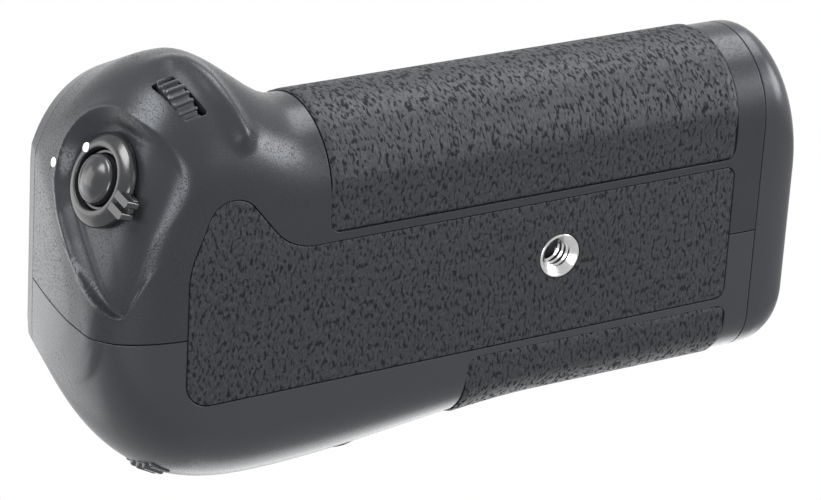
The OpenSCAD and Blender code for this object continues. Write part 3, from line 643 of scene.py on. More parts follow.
@dataclass(frozen=True)
class SpeckledPlastic:
    """Satin moulded plastic with a fine speckle of pits, painted dark as shade in the pits."""

    name: str = "speckled_plastic"
    tone: float = 0.022
    speck: float = 0.34
    grain: float = 0.17
    rough: float = 0.27
    edge: float = 0.3
    spots: float = 0.8

    def build(self) -> bpy.types.Material:
        """Makes the material."""
        g = Graph(self.name)
        specks = g.noise(self.speck, 2.0).step(0.53, 0.63)
        patches = g.noise(9.0, 1.0).step(0.3, 0.75)
        shaded_pits = specks * (0.45 + patches * 0.55)
        cloud = g.noise(26.0, 2.0)
        body = g.mix(cloud, grey(self.tone * 0.9, COOL), grey(self.tone * 1.12, COOL))
        # Painted shade: the speckle's pits are painted darker in the colour; their bump and roughness are
        # real.
        g.set(Base_Color=g.mix(shaded_pits * self.spots, body, grey(self.tone * 0.3)))
        grain = g.noise(self.grain, 3.0)
        g.set(Roughness=self.rough + grain * 0.12 + shaded_pits * self.spots * 0.35 - 0.06)
        g.set(Specular_IOR_Level=0.26, Specular_Tint=SHEEN)
        g.set(Normal=g.bump(grain - shaded_pits * self.spots, 0.02, 0.55, g.edge_round(self.edge)))
        return g.material


@dataclass(frozen=True)
class GripLeather:
    """Leather-grained rubber with short creases painted dark as shade, and painted highlights on its pebbles.
    """

    name: str = "grip_leather"
    tone: float = 0.02
    crease: float = 0.6
    run: Triple = (1.05, 0.5, 0.55)

    def build(self) -> bpy.types.Material:
        """Makes the material."""
        g = Graph(self.name)
        crease = g.noise(self.crease, 2.0, self.run, 0.3).step(0.47, 0.66)
        pebble = g.noise(0.62, 1.0, (1.1, 0.75, 0.75))
        fine = g.noise(0.26, 2.0)
        cloud = g.noise(12.0, 2.0)
        top = g.mix(cloud, grey(self.tone * 0.88, COOL), grey(self.tone * 1.12, COOL))
        # Painted highlight: the pebble tops are painted twice as light as the leather.
        painted_pebble_highlights = g.mix(pebble.step(0.48, 0.68) * 0.6, top, grey(self.tone * 2.0, COOL))
        # Painted shade: the creases are painted almost black; their bump and roughness are real.
        g.set(Base_Color=g.mix(crease, painted_pebble_highlights, grey(self.tone * 0.06)))
        g.set(Roughness=0.44 + fine * 0.14 + crease * 0.4)
        g.set(Normal=g.bump(pebble * 0.6 + fine * 0.12 - crease * 0.8, 0.12, 0.8))
        g.set(Specular_IOR_Level=0.26, Specular_Tint=SHEEN)
        return g.material


@dataclass(frozen=True)
class GlossPlastic:
    """Polished or satin black plastic with faint swirls of wear."""

    name: str = "gloss_plastic"
    tone: float = 0.014
    rough: float = 0.2
    edge: float = 0.12

    def build(self) -> bpy.types.Material:
        """Makes the material."""
        g = Graph(self.name)
        haze = g.noise(3.2, 3.0)
        hair = g.noise(0.5, 4.0, (0.35, 1, 2.2))
        g.set(Base_Color=g.mix(haze, grey(self.tone * 0.8, COOL), grey(self.tone * 1.25, COOL)))
        g.set(Roughness=self.rough + haze * 0.08 + hair * 0.06 - 0.05)
        g.set(Normal=g.bump(hair, 0.004, 0.4, g.edge_round(self.edge)))
        return g.material


@dataclass(frozen=True)
class BareMetal:
    """Turned or plated metal with fine tool marks."""

    name: str
    colour: Colour
    rough: float = 0.22
    marks: Triple = (1.0, 1.0, 6.0)
    edge: float = 0.08

    def build(self) -> bpy.types.Material:
        """Makes the material."""
        g = Graph(self.name)
        lines = g.noise(0.4, 3.0, self.marks)
        stain = g.noise(4.0, 2.0)
        dull = tuple(c * 0.82 for c in self.colour[:3]) + (1.0,)
        g.set(Metallic=1.0, Base_Color=g.mix(stain.step(0.3, 0.8), self.colour, dull))
        g.set(Roughness=self.rough + lines * 0.12 + stain * 0.08 - 0.08)
        g.set(Normal=g.bump(lines, 0.006, 0.5, g.edge_round(self.edge)))
        return g.material


@dataclass(frozen=True)
class Laminate:
    """Green circuit laminate with its copper runs under the mask."""

    name: str = "circuit_laminate"

    def build(self) -> bpy.types.Material:
        """Makes the material."""
        g = Graph(self.name)
        layout = {"Scale": 1 / (4.0 * MM), "Mortar Size": 0.05, "Brick Width": 0.9, "Row Height": 0.3}
        runs = g.node("ShaderNodeTexBrick", {"offset": 0.37, "squash": 1.6}, {"Vector": g.place, **layout})
        run = runs.out("Fac")
        weave = g.noise(0.5, 2.0)
        mask = g.mix(weave, (0.012, 0.085, 0.045, 1), (0.02, 0.12, 0.07, 1))
        g.set(Base_Color=g.mix(run, mask, (0.05, 0.2, 0.1, 1)), Roughness=0.34 + weave * 0.1)
        g.set(Normal=g.bump(run, 0.03, 0.6))
        return g.material


@dataclass(frozen=True)
class MarkPaint:
    """White pad-printed marking paint."""

    name: str = "mark_paint"

    def build(self) -> bpy.types.Material:
        """Makes the material."""
        g = Graph(self.name)
        wear = g.noise(0.3, 3.0)
        g.set(Base_Color=g.mix(wear, grey(0.86), grey(0.74)), Roughness=0.5 + wear * 0.1)
        g.set(Normal=g.bump(wear, 0.008, 0.4))
        return g.material


class Finishes:
    """Every finish of the grip, made once."""

    def __init__(self) -> None:
        """Builds the materials."""
        self.shell = SpeckledPlastic().build()
        # Painted light: this less speckled copy of the shell plastic is lighter than the front shell's,
        # standing in for light on the lower rear. The plate and cap take it too.
        self.plain_shell_painted_lighter = SpeckledPlastic("moulded_plastic_painted_lighter", 0.03, spots=0.15).build()
        self.leather = GripLeather().build()
        self.gloss = GlossPlastic().build()
        self.satin = GlossPlastic("satin_black", 0.018, 0.34, 0.2).build()
        # Painted highlight: the dials' black plastic is made lighter than the gloss plastic, standing in for
        # highlights on their ribs.
        self.dial = GlossPlastic("dial_plastic_painted_highlight", 0.04, 0.2, 0.1).build()
        self.tray = SpeckledPlastic("tray_plastic", 0.04, 0.6, 0.3, 0.5, 0.2, 0.2).build()
        self.chrome = BareMetal("plated_bush", grey(0.56), 0.12).build()
        self.steel = BareMetal("turned_steel", grey(0.62, (1.0, 1.0, 1.02)), 0.3).build()
        self.brass = BareMetal("contact_brass", (0.78, 0.6, 0.26, 1.0), 0.26).build()
        self.laminate = Laminate().build()
        self.paint = MarkPaint().build()


def dress(obj: Piece, material: bpy.types.Material) -> Piece:
    """Gives an object one material."""
    obj.data.materials.clear()
    obj.data.materials.append(material)
    return obj


def enter(
    obj: Piece, angle: float, material: bpy.types.Material, body: str, nodes: Sequence[str] = ()
) -> None:
    """Shades and dresses a piece, rides it on its body and hides the solids that it replaces.

    Args:
        obj: The finished piece.
        angle: Edge angle up to which it is shaded smooth, in degrees.
        material: Its finish.
        body: The body that it moves with.
        nodes: The solids that it replaces.
    """
    dress(Studio.smooth_shade(obj, angle), material)
    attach(obj, body)
    if nodes:
        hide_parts(*nodes)
    log.info("piece %s on %s, %d faces", obj.name, body, len(obj.data.polygons))


FORM = BodyForm()


Disc = tuple[Pair, float]


@dataclass
class Release:
    """Shutter release: dish, seat, button and lock lever, in a frame whose Z points out of the dish."""

    place: Triple = (-83.3, -22.602, 14.6)
    tilt: float = 96.3
    turn: float = 201.9
    floor_discs: tuple[Disc, ...] = (((0.0, 0.2), 8.5), ((8.3, 2.6), 6.2), ((10.6, -18.6), 0.9))
    rim_discs: tuple[Disc, ...] = (
        ((0.8, 0.7), 11.8), ((6.6, 2.0), 9.8), ((-7.9, -3.7), 2.7), ((-5.2, -7.4), 2.9), ((0.0, -11.9), 2.9),
        ((6.2, -15.4), 2.9), ((9.9, -17.6), 2.0),
    )
    least_run: float = 0.6
    sides: int = 120
    reach: float = 36.0
    fall_start: float = 6.0
    fall_run: float = 8.5
    fall_h: float = 2.6
    tip_start: float = 5.0
    tip_run: float = 14.0
    tip_h: float = 2.8
    tip_power: float = 1.3
    lip_h: float = 0.22
    lip_w: float = 0.42
    soft: float = 5.0
    fall_most: float = 1.3
    wall_ease: float = 0.35
    lip_start: float = 0.6
    lip_run: float = 1.6
    back: float = -9.0
    button_d: float = 8.6
    stem: tuple[Pair, ...] = ((0.0, -3.0), (1.5, -3.0), (1.5, -1.4))
    skirt: tuple[Pair, ...] = ((-0.3, -1.4), (0.0, -1.1))
    crown_r: float = 0.75
    crown_z: float = 2.05
    face_h: float = 1.1
    coil_r: float = 2.94
    coil_wire: float = 0.5
    coil_ends: Pair = (-6.0, -1.4)
    coil_turns: int = 4
    travel: float = 1.5
    seat_d: float = 10.6
    seat_low: float = -6.0
    seat_fit: float = 0.08
    seat_rim: tuple[Pair, ...] = ((0.0, 0.7), (-0.12, 0.95), (-0.3, 1.05))
    seat_lip: tuple[Pair, ...] = ((0.25, 1.0), (0.1, 0.85), (0.0, 0.5))
    flange_out: float = 1.5
    flange_z: Pair = (-3.0, -1.9)
    lever_d: float = 16.3
    lever_fit: float = 0.06
    lever_low: float = 0.3
    lever_rim: tuple[Pair, ...] = ((0.0, 0.3), (0.0, 0.9), (-0.12, 1.2), (-0.5, 1.55), (-1.3, 2.0))
    lever_lip: tuple[Pair, ...] = ((0.75, 2.3), (0.3, 2.3), (0.08, 2.2), (0.0, 2.0))
    tab_turn: float = -10.0
    tab_start: float = 6.6
    tabs: tuple[tuple[float, float, float, float], ...] = (
        (0.0, 4.2, 10.0, 1.4), (-1.15, 1.4, 10.5, 2.75), (1.15, 1.4, 10.5, 2.75)
    )
    dot_r: float = 0.85
    dot_low: float = -0.6
    lever_dot: Triple = (6.35, 2.545, 2.2)
    body_dot: Triple = (-87.41, -22.18, 26.61)

    def __post_init__(self) -> None:
        """Works out the dish's outline on its floor and how far it opens to its rim, in even directions."""
        self.rays: list[tuple[float, float, float, float]] = []
        for k in range(self.sides):
            a = 2 * math.pi * k / self.sides
            ux, uy = math.cos(a), math.sin(a)
            low = max(c[0] * ux + c[1] * uy + r for c, r in self.floor_discs)
            high = max(c[0] * ux + c[1] * uy + r for c, r in self.rim_discs)
            self.rays.append((ux, uy, low, max(self.least_run, high - low)))
        self.inverse = self.frame.inverted()

    @property
    def frame(self) -> Matrix:
        """The release's own frame."""
        turn = Matrix.Rotation(math.radians(self.turn), 4, "Z")
        return Matrix.Translation(self.place) @ turn @ Matrix.Rotation(math.radians(self.tilt), 4, "Y")

    def dish(self, x: float, y: float, body: float, drop: float) -> float:
        """Height of the form with the dish drawn into it, at a place in the release's frame.

        Args:
            x: First coordinate.
            y: Second coordinate.
            body: Height of the form there.
            drop: How far below the dish's own floor to stay.

        Returns:
            The height.
        """
        share, span = max(((x * ux + y * uy - low) / run, run) for ux, uy, low, run in self.rays)
        tip = self.tip_h * max(0.0, (-y - self.tip_start) / self.tip_run) ** self.tip_power
        fall = self.fall_h * min(self.fall_most, max(0.0, (x - self.fall_start) / self.fall_run)) ** 2
        floor = soft_min(-fall - tip - drop, body, self.soft)
        deep = body - floor
        wall = min(1.0, max(0.0, share))
        lips = sum(math.exp(-(((share - edge) * span / self.lip_w) ** 2)) for edge in (0, 1))
        lips *= self.lip_h * smooth((deep - self.lip_start) / self.lip_run)
        return floor + deep * blend(wall, smooth(wall), self.wall_ease) + lips

    def sink(self, point: Vector, drop: float = 0.0) -> Vector:
        """Draws a point of the form down into the dish.

        Args:
            point: A point of the form, in millimetres.
            drop: How far below the dish it ends up.

        Returns:
            The moved point.
        """
        local = self.inverse @ point
        if local.z < self.back or local.xy.length > self.reach:
            return point
        local.z = self.dish(local.x, local.y, local.z, drop)
        return self.frame @ local

    def build(self, finish: Finishes, casing: Piece) -> None:
        """Models the button and the lever, and marks the casing beside them."""
        r, bend, steps = self.button_d / 2, self.crown_r, 6
        flat, top = r - bend, self.crown_z + bend
        turns = [math.pi / 2 * k / steps for k in range(steps, 0, -1)]
        crown = [(flat + bend * math.sin(a), self.crown_z + bend * math.cos(a)) for a in turns]
        shares = [k / 8 for k in range(9)]
        face = [(flat * (1 - s), top + self.face_h * (1 - (1 - s) ** 2)) for s in shares]
        profile = [*self.stem, *self.beside(r, self.skirt), *crown, *face]
        button = Studio.turned("shutter_button_cap", profile, 96, self.frame)
        enter(button, 40, finish.gloss, "shutter", ["shutter_button"])
        self.spring(finish)
        self.lever(finish)
        self.collar(finish)
        self.marks(finish, casing)

    @staticmethod
    def beside(r: float, profile: Sequence[Pair]) -> list[Pair]:
        """A profile whose radii are counted from r."""
        return [(r + out, z) for out, z in profile]

    def spring(self, finish: Finishes) -> None:
        """Models the coil under the button."""
        low, high = self.coil_ends
        r, per_turn, sides = self.coil_wire / 2, 32, 8
        steps = self.coil_turns * per_turn
        rings = []
        for k in range(steps + 1):
            a = 2 * math.pi * k / per_turn
            middle = blend(low + r, high - r, k / steps)
            ring = []
            for i in range(sides):
                b = 2 * math.pi * i / sides
                out = self.coil_r + r * math.cos(b)
                spot = Vector((out * math.cos(a), out * math.sin(a), middle + r * math.sin(b)))
                ring.append(self.frame @ spot)
            rings.append(ring)
        coil = Studio.loft("return_spring", rings)
        enter(coil, 60, finish.steel, "housing", ["shutter_spring"])
        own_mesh(coil)

    def lever(self, finish: Finishes) -> None:
        """Models the lock lever with its ribbed tab."""
        bore, outer = self.seat_d / 2 + self.lever_fit, self.lever_d / 2
        foot = (bore, self.lever_low)
        profile = [foot, *self.beside(outer, self.lever_rim), *self.beside(bore, self.lever_lip), foot]
        ring = Studio.turned("lock_lever_ring", profile, 128, self.frame)
        place = self.frame @ Matrix.Rotation(math.radians(self.tab_turn), 4, "Z")
        for off, width, reach, high in self.tabs:
            low_y, high_y = off - width / 2, off + width / 2
            outline = rounded_outline([(self.tab_start, low_y, 0.2), (reach, low_y, 0.5),
                                       (reach, high_y, 0.5), (self.tab_start, high_y, 0.2)])
            tab = Studio.prism("tab", outline, self.lever_low, high, place)
            Studio.combine(ring, tab, Bool.JOIN)
        enter(ring, 35, finish.gloss, "lever", ["lock_lever"])

    def collar(self, finish: Finishes) -> None:
        """Models the seat's rounded collar between the button and the lever."""
        inner, outer = self.button_d / 2 + self.seat_fit, self.seat_d / 2
        foot = (inner, self.seat_low)
        rim, lip = self.beside(outer, self.seat_rim), self.beside(inner, self.seat_lip)
        profile = [foot, (outer, self.seat_low), *rim, *lip, foot]
        seat = Studio.turned("shutter_collar", profile, 128, self.frame)
        wide = outer + self.flange_out
        low, high = self.flange_z
        section = [(inner, low), (wide, low), (wide, high), (inner, high), (inner, low)]
        Studio.combine(seat, Studio.turned("flange", section, 96, self.frame), Bool.JOIN)
        enter(seat, 35, finish.gloss, "housing", ["shutter_seat"])

    def marks(self, finish: Finishes, casing: Piece) -> None:
        """Models the white dots on the lever and beside it."""
        r, a, z = self.lever_dot
        on_lever = self.frame @ Matrix.Translation((r * math.cos(a), r * math.sin(a), z))
        self.dot("lever_dot", on_lever, "lever", finish)
        _, spot, normal, _ = casing.closest_point_on_mesh(Vector(self.body_dot) * MM)
        facing = normal.to_track_quat("Z", "Y").to_matrix().to_4x4()
        self.dot("body_dot", Matrix.Translation(spot / MM) @ facing, "housing", finish)

    def dot(self, name: str, place: Matrix, body: str, finish: Finishes) -> None:
        """Models one raised paint dot."""
        r, low = self.dot_r, self.dot_low
        profile = [(0.0, low), (r, low), (r, 0.06), (r - 0.1, 0.11), (r * 0.5, 0.14), (0.0, 0.15)]
        enter(Studio.turned(name, profile, 32, place), 50, finish.paint, body)


RELEASE = Release()


@dataclass
class Pads:
    """Leather-grained pads on the bottom, the front and the back."""

    thick: float = 1.2
    proud: float = 0.45
    groove: float = 0.18
    top: float = 24.0
    front_x: Pair = (-47.8, 37.0)
    rear_x: Pair = (-18.0, 38.0)
    front_y: float = -12.7
    rear_y: float = 16.6
    corner: float = 2.0
    edge: float = 0.3
    bush_r: float = 4.25
    bush_hole: Pair = (-1.0, 3.0)
    floor_gap: float = 0.05
    column_w: float = 0.75
    row_h: float = 0.6
    lines_per_mm: int = 8
    lobe: tuple[tuple[float, float, float, float, float, float], ...] = (
        (-74.5, 15.2, 4.6, -1, 1, 1), (37.4, 14.8, 2, 1, 1, 1), (37.2, -11, 2, 1, -1, 1),
        (-55.4, -10.8, 10.3, 0.4, -1, -1), (-64.4, -21.7, 5.2, 0.5, -1, 1), (-70.1, -21.7, 4.5, -0.7, -1, 1),
        (-74.6, -10.1, 16, -1, -0.2, 1),
    )
    roll: tuple[Pair, ...] = ((-0.24, 0.0), (-0.12, 0.02), (-0.04, 0.08), (0.0, 0.2))

    def bottom_outline(self, grow: float) -> list[Pair]:
        """Outline of the bottom pad with its lobe, each corner grown its own way."""
        corners = [(x + a * grow, y + b * grow, r + c * grow) for x, y, r, a, b, c in self.lobe]
        return rounded_outline(corners, 12)

    def arc_length(self, x: float, front: bool, start_y: float) -> list[tuple[float, Vector, Vector]]:
        """A side's line from the pad's edge under the bottom to its top edge.

        Args:
            x: Place along the length.
            front: The front side, or else the back.
            start_y: Where the pad starts under the bottom.

        Returns:
            Distance run, point and outward normal along the line.
        """
        line = [Vector((x, start_y, FORM.low_edge(x, 0)))]
        line += [p for p in FORM.profile(x, 0, front, 40, 24) if p.z <= self.top + 1.5]
        run, out = 0.0, []
        for i, p in enumerate(line):
            along = line[min(i + 1, len(line) - 1)] - line[max(i - 1, 0)]
            along.x = 0
            along.normalize()
            normal = Vector((0, -along.z, along.y)) if front else Vector((0, along.z, -along.y))
            out.append((run, p, normal if i else Vector((0, 0, -1))))
            if i + 1 < len(line):
                run += (line[i + 1] - p).length
        return out

    def wrapped(self, name: str, front: bool) -> Piece:
        """A pad wrapped round one side of the form, with rolled edges."""
        x0, x1 = self.front_x if front else self.rear_x
        start = self.front_y if front else self.rear_y
        columns = int((x1 - x0) / self.column_w)
        sample = self.arc_length((x0 + x1) / 2, front, start)
        length = max(s for s, p, _ in sample if p.z <= self.top)
        rows = int(length / self.row_h)
        bpy.ops.object.select_all(action="DESELECT")
        bpy.ops.mesh.primitive_grid_add(x_subdivisions=columns, y_subdivisions=rows, size=2)
        obj = Studio.named(name)
        lines: dict[int, list] = {}
        for vertex in obj.data.vertices:
            u = (vertex.co.x + 1) / 2 * (x1 - x0)
            s = (vertex.co.y + 1) / 2 * length
            u, s, rim = self.round_corner(u, s, x1 - x0, length)
            key = round(u * self.lines_per_mm)
            if key not in lines:
                lines[key] = self.arc_length(x0 + key / self.lines_per_mm, front, start)
            point, normal = self.along(lines[key], s)
            roll = max(0.0, 1 - rim / self.edge)
            drop = self.edge * (1 - math.sqrt(1 - roll * roll))
            spot = Vector((x0 + u, point.y, point.z)) + normal * (self.proud - drop)
            spot.z = max(spot.z, -normal.z * drop)
            vertex.co = spot * MM
        step = obj.modifiers.new("thickness", "SOLIDIFY")
        step.thickness = (self.thick - self.proud) * MM
        step.offset = -1
        bpy.ops.object.mode_set(mode="EDIT")
        bpy.ops.mesh.select_all(action="SELECT")
        bpy.ops.mesh.normals_make_consistent(inside=False)
        bpy.ops.object.mode_set(mode="OBJECT")
        outward = -1 if front else 1
        if sum(p.normal.y * p.area for p in obj.data.polygons) * outward < 0:
            bpy.ops.object.mode_set(mode="EDIT")
            bpy.ops.mesh.flip_normals()
            bpy.ops.object.mode_set(mode="OBJECT")
        Studio.apply(obj, step)
        return obj

    def round_corner(self, u: float, s: float, width: float, length: float) -> Triple:
        """Draws a square grid into a rounded one.

        Args:
            u: Place along the width.
            s: Place along the length.
            width: Full width.
            length: Full length.

        Returns:
            The moved place and its distance from the rim.
        """
        r = self.corner
        a, b = abs(u - width / 2) - (width / 2 - r), abs(s - length / 2) - (length / 2 - r)
        if a <= 0 or b <= 0:
            return u, s, r - max(a, b)
        a2, b2 = a * math.sqrt(1 - b * b / (2 * r * r)), b * math.sqrt(1 - a * a / (2 * r * r))
        u += math.copysign(a2 - a, u - width / 2)
        s += math.copysign(b2 - b, s - length / 2)
        return u, s, r - math.hypot(a2, b2)

    @staticmethod
    def along(line: list[tuple[float, Vector, Vector]], s: float) -> tuple[Vector, Vector]:
        """Point and normal at a distance along a line."""
        for (s0, p0, n0), (s1, p1, n1) in zip(line, line[1:]):
            if s <= s1:
                t = (s - s0) / max(1e-6, s1 - s0)
                return p0.lerp(p1, t), n0.lerp(n1, t).normalized()
        return line[-1][1], line[-1][2]

    def build(self, finish: Finishes) -> None:
        """Models the three pads."""
        for name, node, front in (
            ("front_leather", "front_grip_pad", True), ("rear_leather", "rear_grip_pad", False)
        ):
            enter(self.wrapped(name, front), 40, finish.leather, "housing", [node])
        steps = [*self.roll, (0.0, self.thick)]
        rings = [[Vector((x, y, z)) for x, y in self.bottom_outline(grow)] for grow, z in steps]
        pad = Studio.drill(Studio.loft("bottom_leather", rings), self.bush_r, self.bush_hole, 64)
        enter(pad, 30, finish.leather, "housing", ["bottom_grip_pad"])

    def pockets(self, body: Piece, front: bool) -> None:
        """Cuts the pockets of the pads out of a shell."""
        below, far, beyond = -1.0, 60.0, 4.0
        low = Studio.prism("pocket", self.bottom_outline(self.groove), below, self.thick + self.floor_gap)
        Studio.combine(body, low, Bool.CUT)
        x0, x1 = self.front_x if front else self.rear_x
        y0, y1 = (-far, self.front_y) if front else (self.rear_y, far)
        g, r = self.groove, self.corner + self.groove
        corners = [(x0 - g, y0 - g, r), (x1 + g, y0 - g, r), (x1 + g, y1 + g, r), (x0 - g, y1 + g, r)]
        wrap = Studio.prism("wrap", rounded_outline(corners), below, self.top + g)
        deep = self.proud - self.thick - self.floor_gap
        Studio.combine(wrap, loft_form("core", deep, x0 - beyond, x1 + beyond, PLAIN), Bool.CUT)
        Studio.combine(body, wrap, Bool.CUT)


PADS = Pads()


def loft_form(name: str, g: float, first: float, last: float, detail: Detail) -> Piece:
    """The body form as a solid, grown by g between two places along its length."""
    return Studio.loft(name, [FORM.section(x, g, detail) for x in FORM.stations(g, first, last, detail)])


@dataclass
class Dial:
    """A ridged control dial in its window."""

    name: str
    body: str
    place: Triple
    turn: float
    d: float
    dip: float
    out: float
    width: float = 4.4
    ridges: int = 26
    opening: Pair = (4.6, 2.6)
    offset: float = 0.0
    slant: float = 0.0
    shift: Pair = (0.0, 0.0)
    bore_r: float = 1.06
    window_r: float = 0.5
    window_out: float = 6.0
    rim: tuple[Pair, ...] = ((0.7, 0.0), (0.25, 0.05), (0.0, 0.4))
    tooth_h: float = 0.75
    tooth_half: float = 0.27
    tooth_flank: float = 0.16
    tooth_steps: int = 8

    @property
    def frame(self) -> Matrix:
        """The dial's own frame, with Z along its axle."""
        turn = Matrix.Rotation(math.radians(self.turn), 4, "Z")
        return Matrix.Translation(self.place) @ turn @ Matrix.Rotation(math.pi / 2, 4, "Y")

    def window(self) -> Piece:
        """The cutter of the dial's window."""
        h, w = self.opening
        along, across = self.shift
        corners = [(-h, -w - self.slant), (h, -w + self.slant), (h, w + self.slant), (-h, w - self.slant)]
        outline = rounded_outline([(x + along, y + across, self.window_r) for x, y in corners])
        side = Matrix.Rotation(math.radians(90 * self.out), 4, "X")
        dip = Matrix.Rotation(math.radians(self.dip * self.out), 4, "Z")
        return Studio.prism("window", outline, 0.0, self.d / 2 + self.window_out, self.frame @ dip @ side)

    def build(self, finish: Finishes) -> None:
        """Models the dial with rounded ridges."""
        half, count = self.width / 2, self.ridges * self.tooth_steps
        low = [(inset, z - half) for inset, z in self.rim]
        rings = []
        for inset, z in low + [(inset, -z) for inset, z in reversed(low)]:
            ring = []
            for k in range(count):
                phase = (k % self.tooth_steps) / self.tooth_steps
                tooth = smooth((self.tooth_half - abs(phase - 0.5)) / self.tooth_flank)
                rho = self.d / 2 - inset - self.tooth_h * (1 - tooth)
                a = 2 * math.pi * k / count
                ring.append(self.frame @ Vector((rho * math.cos(a), rho * math.sin(a), z + self.offset)))
            rings.append(ring)
        wheel = Studio.loft(self.name + "_wheel", rings)
        Studio.drill(wheel, self.bore_r, (-half - 1, half + 1), 48, self.frame)
        enter(wheel, 35, finish.dial, self.body, [self.name])


FRONT_DIAL = Dial(
    "front_dial", "front_wheel", (-71.952, -31.214, 13.275), turn=-12, d=17.5, dip=35, out=1,
    width=3.6, ridges=34, opening=(4.5, 2.1), offset=0.4, slant=0.9, shift=(-0.3, 0.4),
)
REAR_DIAL = Dial("rear_dial", "rear_wheel", (-72.244, 24.188, 13.0), turn=28, d=16.6, dip=0, out=-1)


@dataclass
class Housing:
    """Front shell, rear shell and top plate."""

    wall: float = 2.2
    seam_y: float = 2.4
    plate_z: float = 34.5
    parting: float = 43.3
    gap: float = 0.24
    plate_gap: float = 0.08
    focus: Pair = (-57.0, 20.0)
    focus_d: float = 11.2
    selector: Pair = (-38.0, 16.0)
    selector_d: float = 14.8
    wheel: Pair = (4.266, 18.72)
    wheel_r: float = 12.5
    wheel_z: Pair = (27.7, 33.7)
    button_hole: Pair = (24.2, 60.0)
    bush_hole: Pair = (-1.0, 5.0)
    seat_fit: float = 0.1
    seat_hole: Pair = (-20.0, 20.0)
    screw_hole_r: float = 6.1
    plate_hole: Pair = (30.0, 50.0)
    screws: tuple[Pair, ...] = ((34, -18), (-30, -19), (-64, -27), (34, 20), (-24, 24), (-49, 25))
    screw_steps: tuple[Pair, ...] = ((1.2, 30), (1.2, 36.4), (2.2, 36.4), (2.2, 50))
    left: float = -200.0
    room: Triple = (120.0, 80.0, 60.0)
    worked: Pair = (-56.0, 6.0)
    ridge_box: Pair = (-82.0, -22.0)
    ridge: tuple[Triple, ...] = (
        (-76.6, -39.1, 19.5), (-73.8, -40.5, 18.4), (-71.5, -41.1, 17.8), (-69.6, -41.3, 17.4),
        (-68.4, -41.2, 16.1), (-67.3, -40.5, 13.2), (-66.6, -39.2, 10.4), (-65.7, -36.8, 6.9),
        (-64.6, -33.5, 4.0), (-63.8, -31.1, 2.5), (-63.2, -28.6, 1.4),
    )
    ridge_top: float = 0.36
    ridge_side: float = 1.5
    ridge_w: float = 2.0
    ridge_fade: Pair = (0.2, 0.15)

    def ridge_height(self, p: Vector) -> float:
        """Height of the soft ridge beside the front dial at a point of the form."""
        best, where = math.inf, 0.0
        for k, (first, second) in enumerate(zip(self.ridge, self.ridge[1:])):
            start, run = Vector(first), Vector(second) - Vector(first)
            t = min(1.0, max(0.0, (p - start).dot(run) / run.length_squared))
            gap = (p - start - run * t).length
            if gap < best:
                best, where = gap, (k + t) / (len(self.ridge) - 1)
        first, last = self.ridge_fade
        ends = smooth(where / first) * smooth((1 - where) / last)
        height = blend(self.ridge_top, self.ridge_side, smooth(1.3 * where - 0.2))
        return height * ends * math.exp(-((best / self.ridge_w) ** 2))

    def shaped(self, vertex: bpy.types.MeshVertex) -> Vector:
        """Place of a vertex of the form, with the dial's ridge and the dish."""
        p = vertex.co / MM
        if p.x > self.worked[0] or p.y > self.worked[1]:
            return vertex.co.copy()
        if p.x > self.ridge_box[0] and p.y < self.ridge_box[1]:
            p += vertex.normal * self.ridge_height(p)
        return RELEASE.sink(p) * MM

    def skin(self, detail: Detail, front: bool) -> Piece:
        """The outer form, with the dial's ridge and the dish on the front."""
        skin = loft_form("skin", 0.0, self.left, self.parting - self.gap / 2, detail)
        if front:
            places = [self.shaped(vertex) for vertex in skin.data.vertices]
            for vertex, place in zip(skin.data.vertices, places):
                vertex.co = place
        return skin

    def hollow(self, body: Piece, front: bool) -> None:
        """Hollows a shell, with a backing behind the dish."""
        core = loft_form("core", -self.wall, self.left, self.parting + 1, PLAIN)
        if front:
            for vertex in core.data.vertices:
                vertex.co = RELEASE.sink(vertex.co / MM, self.wall) * MM
        Studio.combine(body, core, Bool.CUT)

    def shell(self, front: bool) -> Piece:
        """One shell, cut at the seams."""
        body = self.skin(FRONT_SKIN if front else REAR_SKIN, front)
        seam = self.gap / 2
        x, y, z = self.room
        y0, y1 = (-y, self.seam_y - seam) if front else (self.seam_y + seam, y)
        half = Studio.block("half", (-x, y0, -z), (x, y1, self.plate_z - self.plate_gap / 2))
        Studio.combine(body, half, Bool.KEEP)
        self.hollow(body, front)
        PADS.pockets(body, front)
        return Studio.drill(body, PADS.bush_r, self.bush_hole, 64)

    def build_front(self, finish: Finishes) -> Piece:
        """Models the front shell."""
        body = self.shell(True)
        body.name = "front_casing"
        Studio.drill(body, RELEASE.seat_d / 2 + self.seat_fit, self.seat_hole, 96, RELEASE.frame)
        Studio.combine(body, FRONT_DIAL.window(), Bool.CUT)
        enter(body, 42, finish.shell, "housing", ["front_shell"])
        return body

    def build_rear(self, finish: Finishes) -> None:
        """Models the rear shell."""
        body = self.shell(False)
        body.name = "rear_casing"
        for (x, z), d in ((self.focus, self.focus_d), (self.selector, self.selector_d)):
            place = Matrix.Translation((x, 0, z)) @ Matrix.Rotation(-math.pi / 2, 4, "X")
            Studio.drill(body, d / 2, self.button_hole, 96, place)
        Studio.drill(body, self.wheel_r, self.wheel_z, 96, Matrix.Translation((*self.wheel, 0)))
        Studio.combine(body, REAR_DIAL.window(), Bool.CUT)
        enter(body, 28, finish.plain_shell_painted_lighter, "housing", ["rear_shell"])

    def build_plate(self, finish: Finishes) -> None:
        """Models the top plate."""
        plate = self.skin(PLATE_SKIN, False)
        plate.name = "camera_plate"
        x, y, z = self.room
        above = Studio.block("above", (-x, -y, self.plate_z + self.plate_gap / 2), (x, y, z))
        Studio.combine(plate, above, Bool.KEEP)
        Studio.drill(plate, self.screw_hole_r, self.plate_hole, 96)
        for x, y in self.screws:
            Studio.bore(plate, self.screw_steps, 48, Matrix.Translation((x, y, 0)))
        enter(plate, 28, finish.plain_shell_painted_lighter, "housing", ["top_plate"])


HOUSING = Housing()


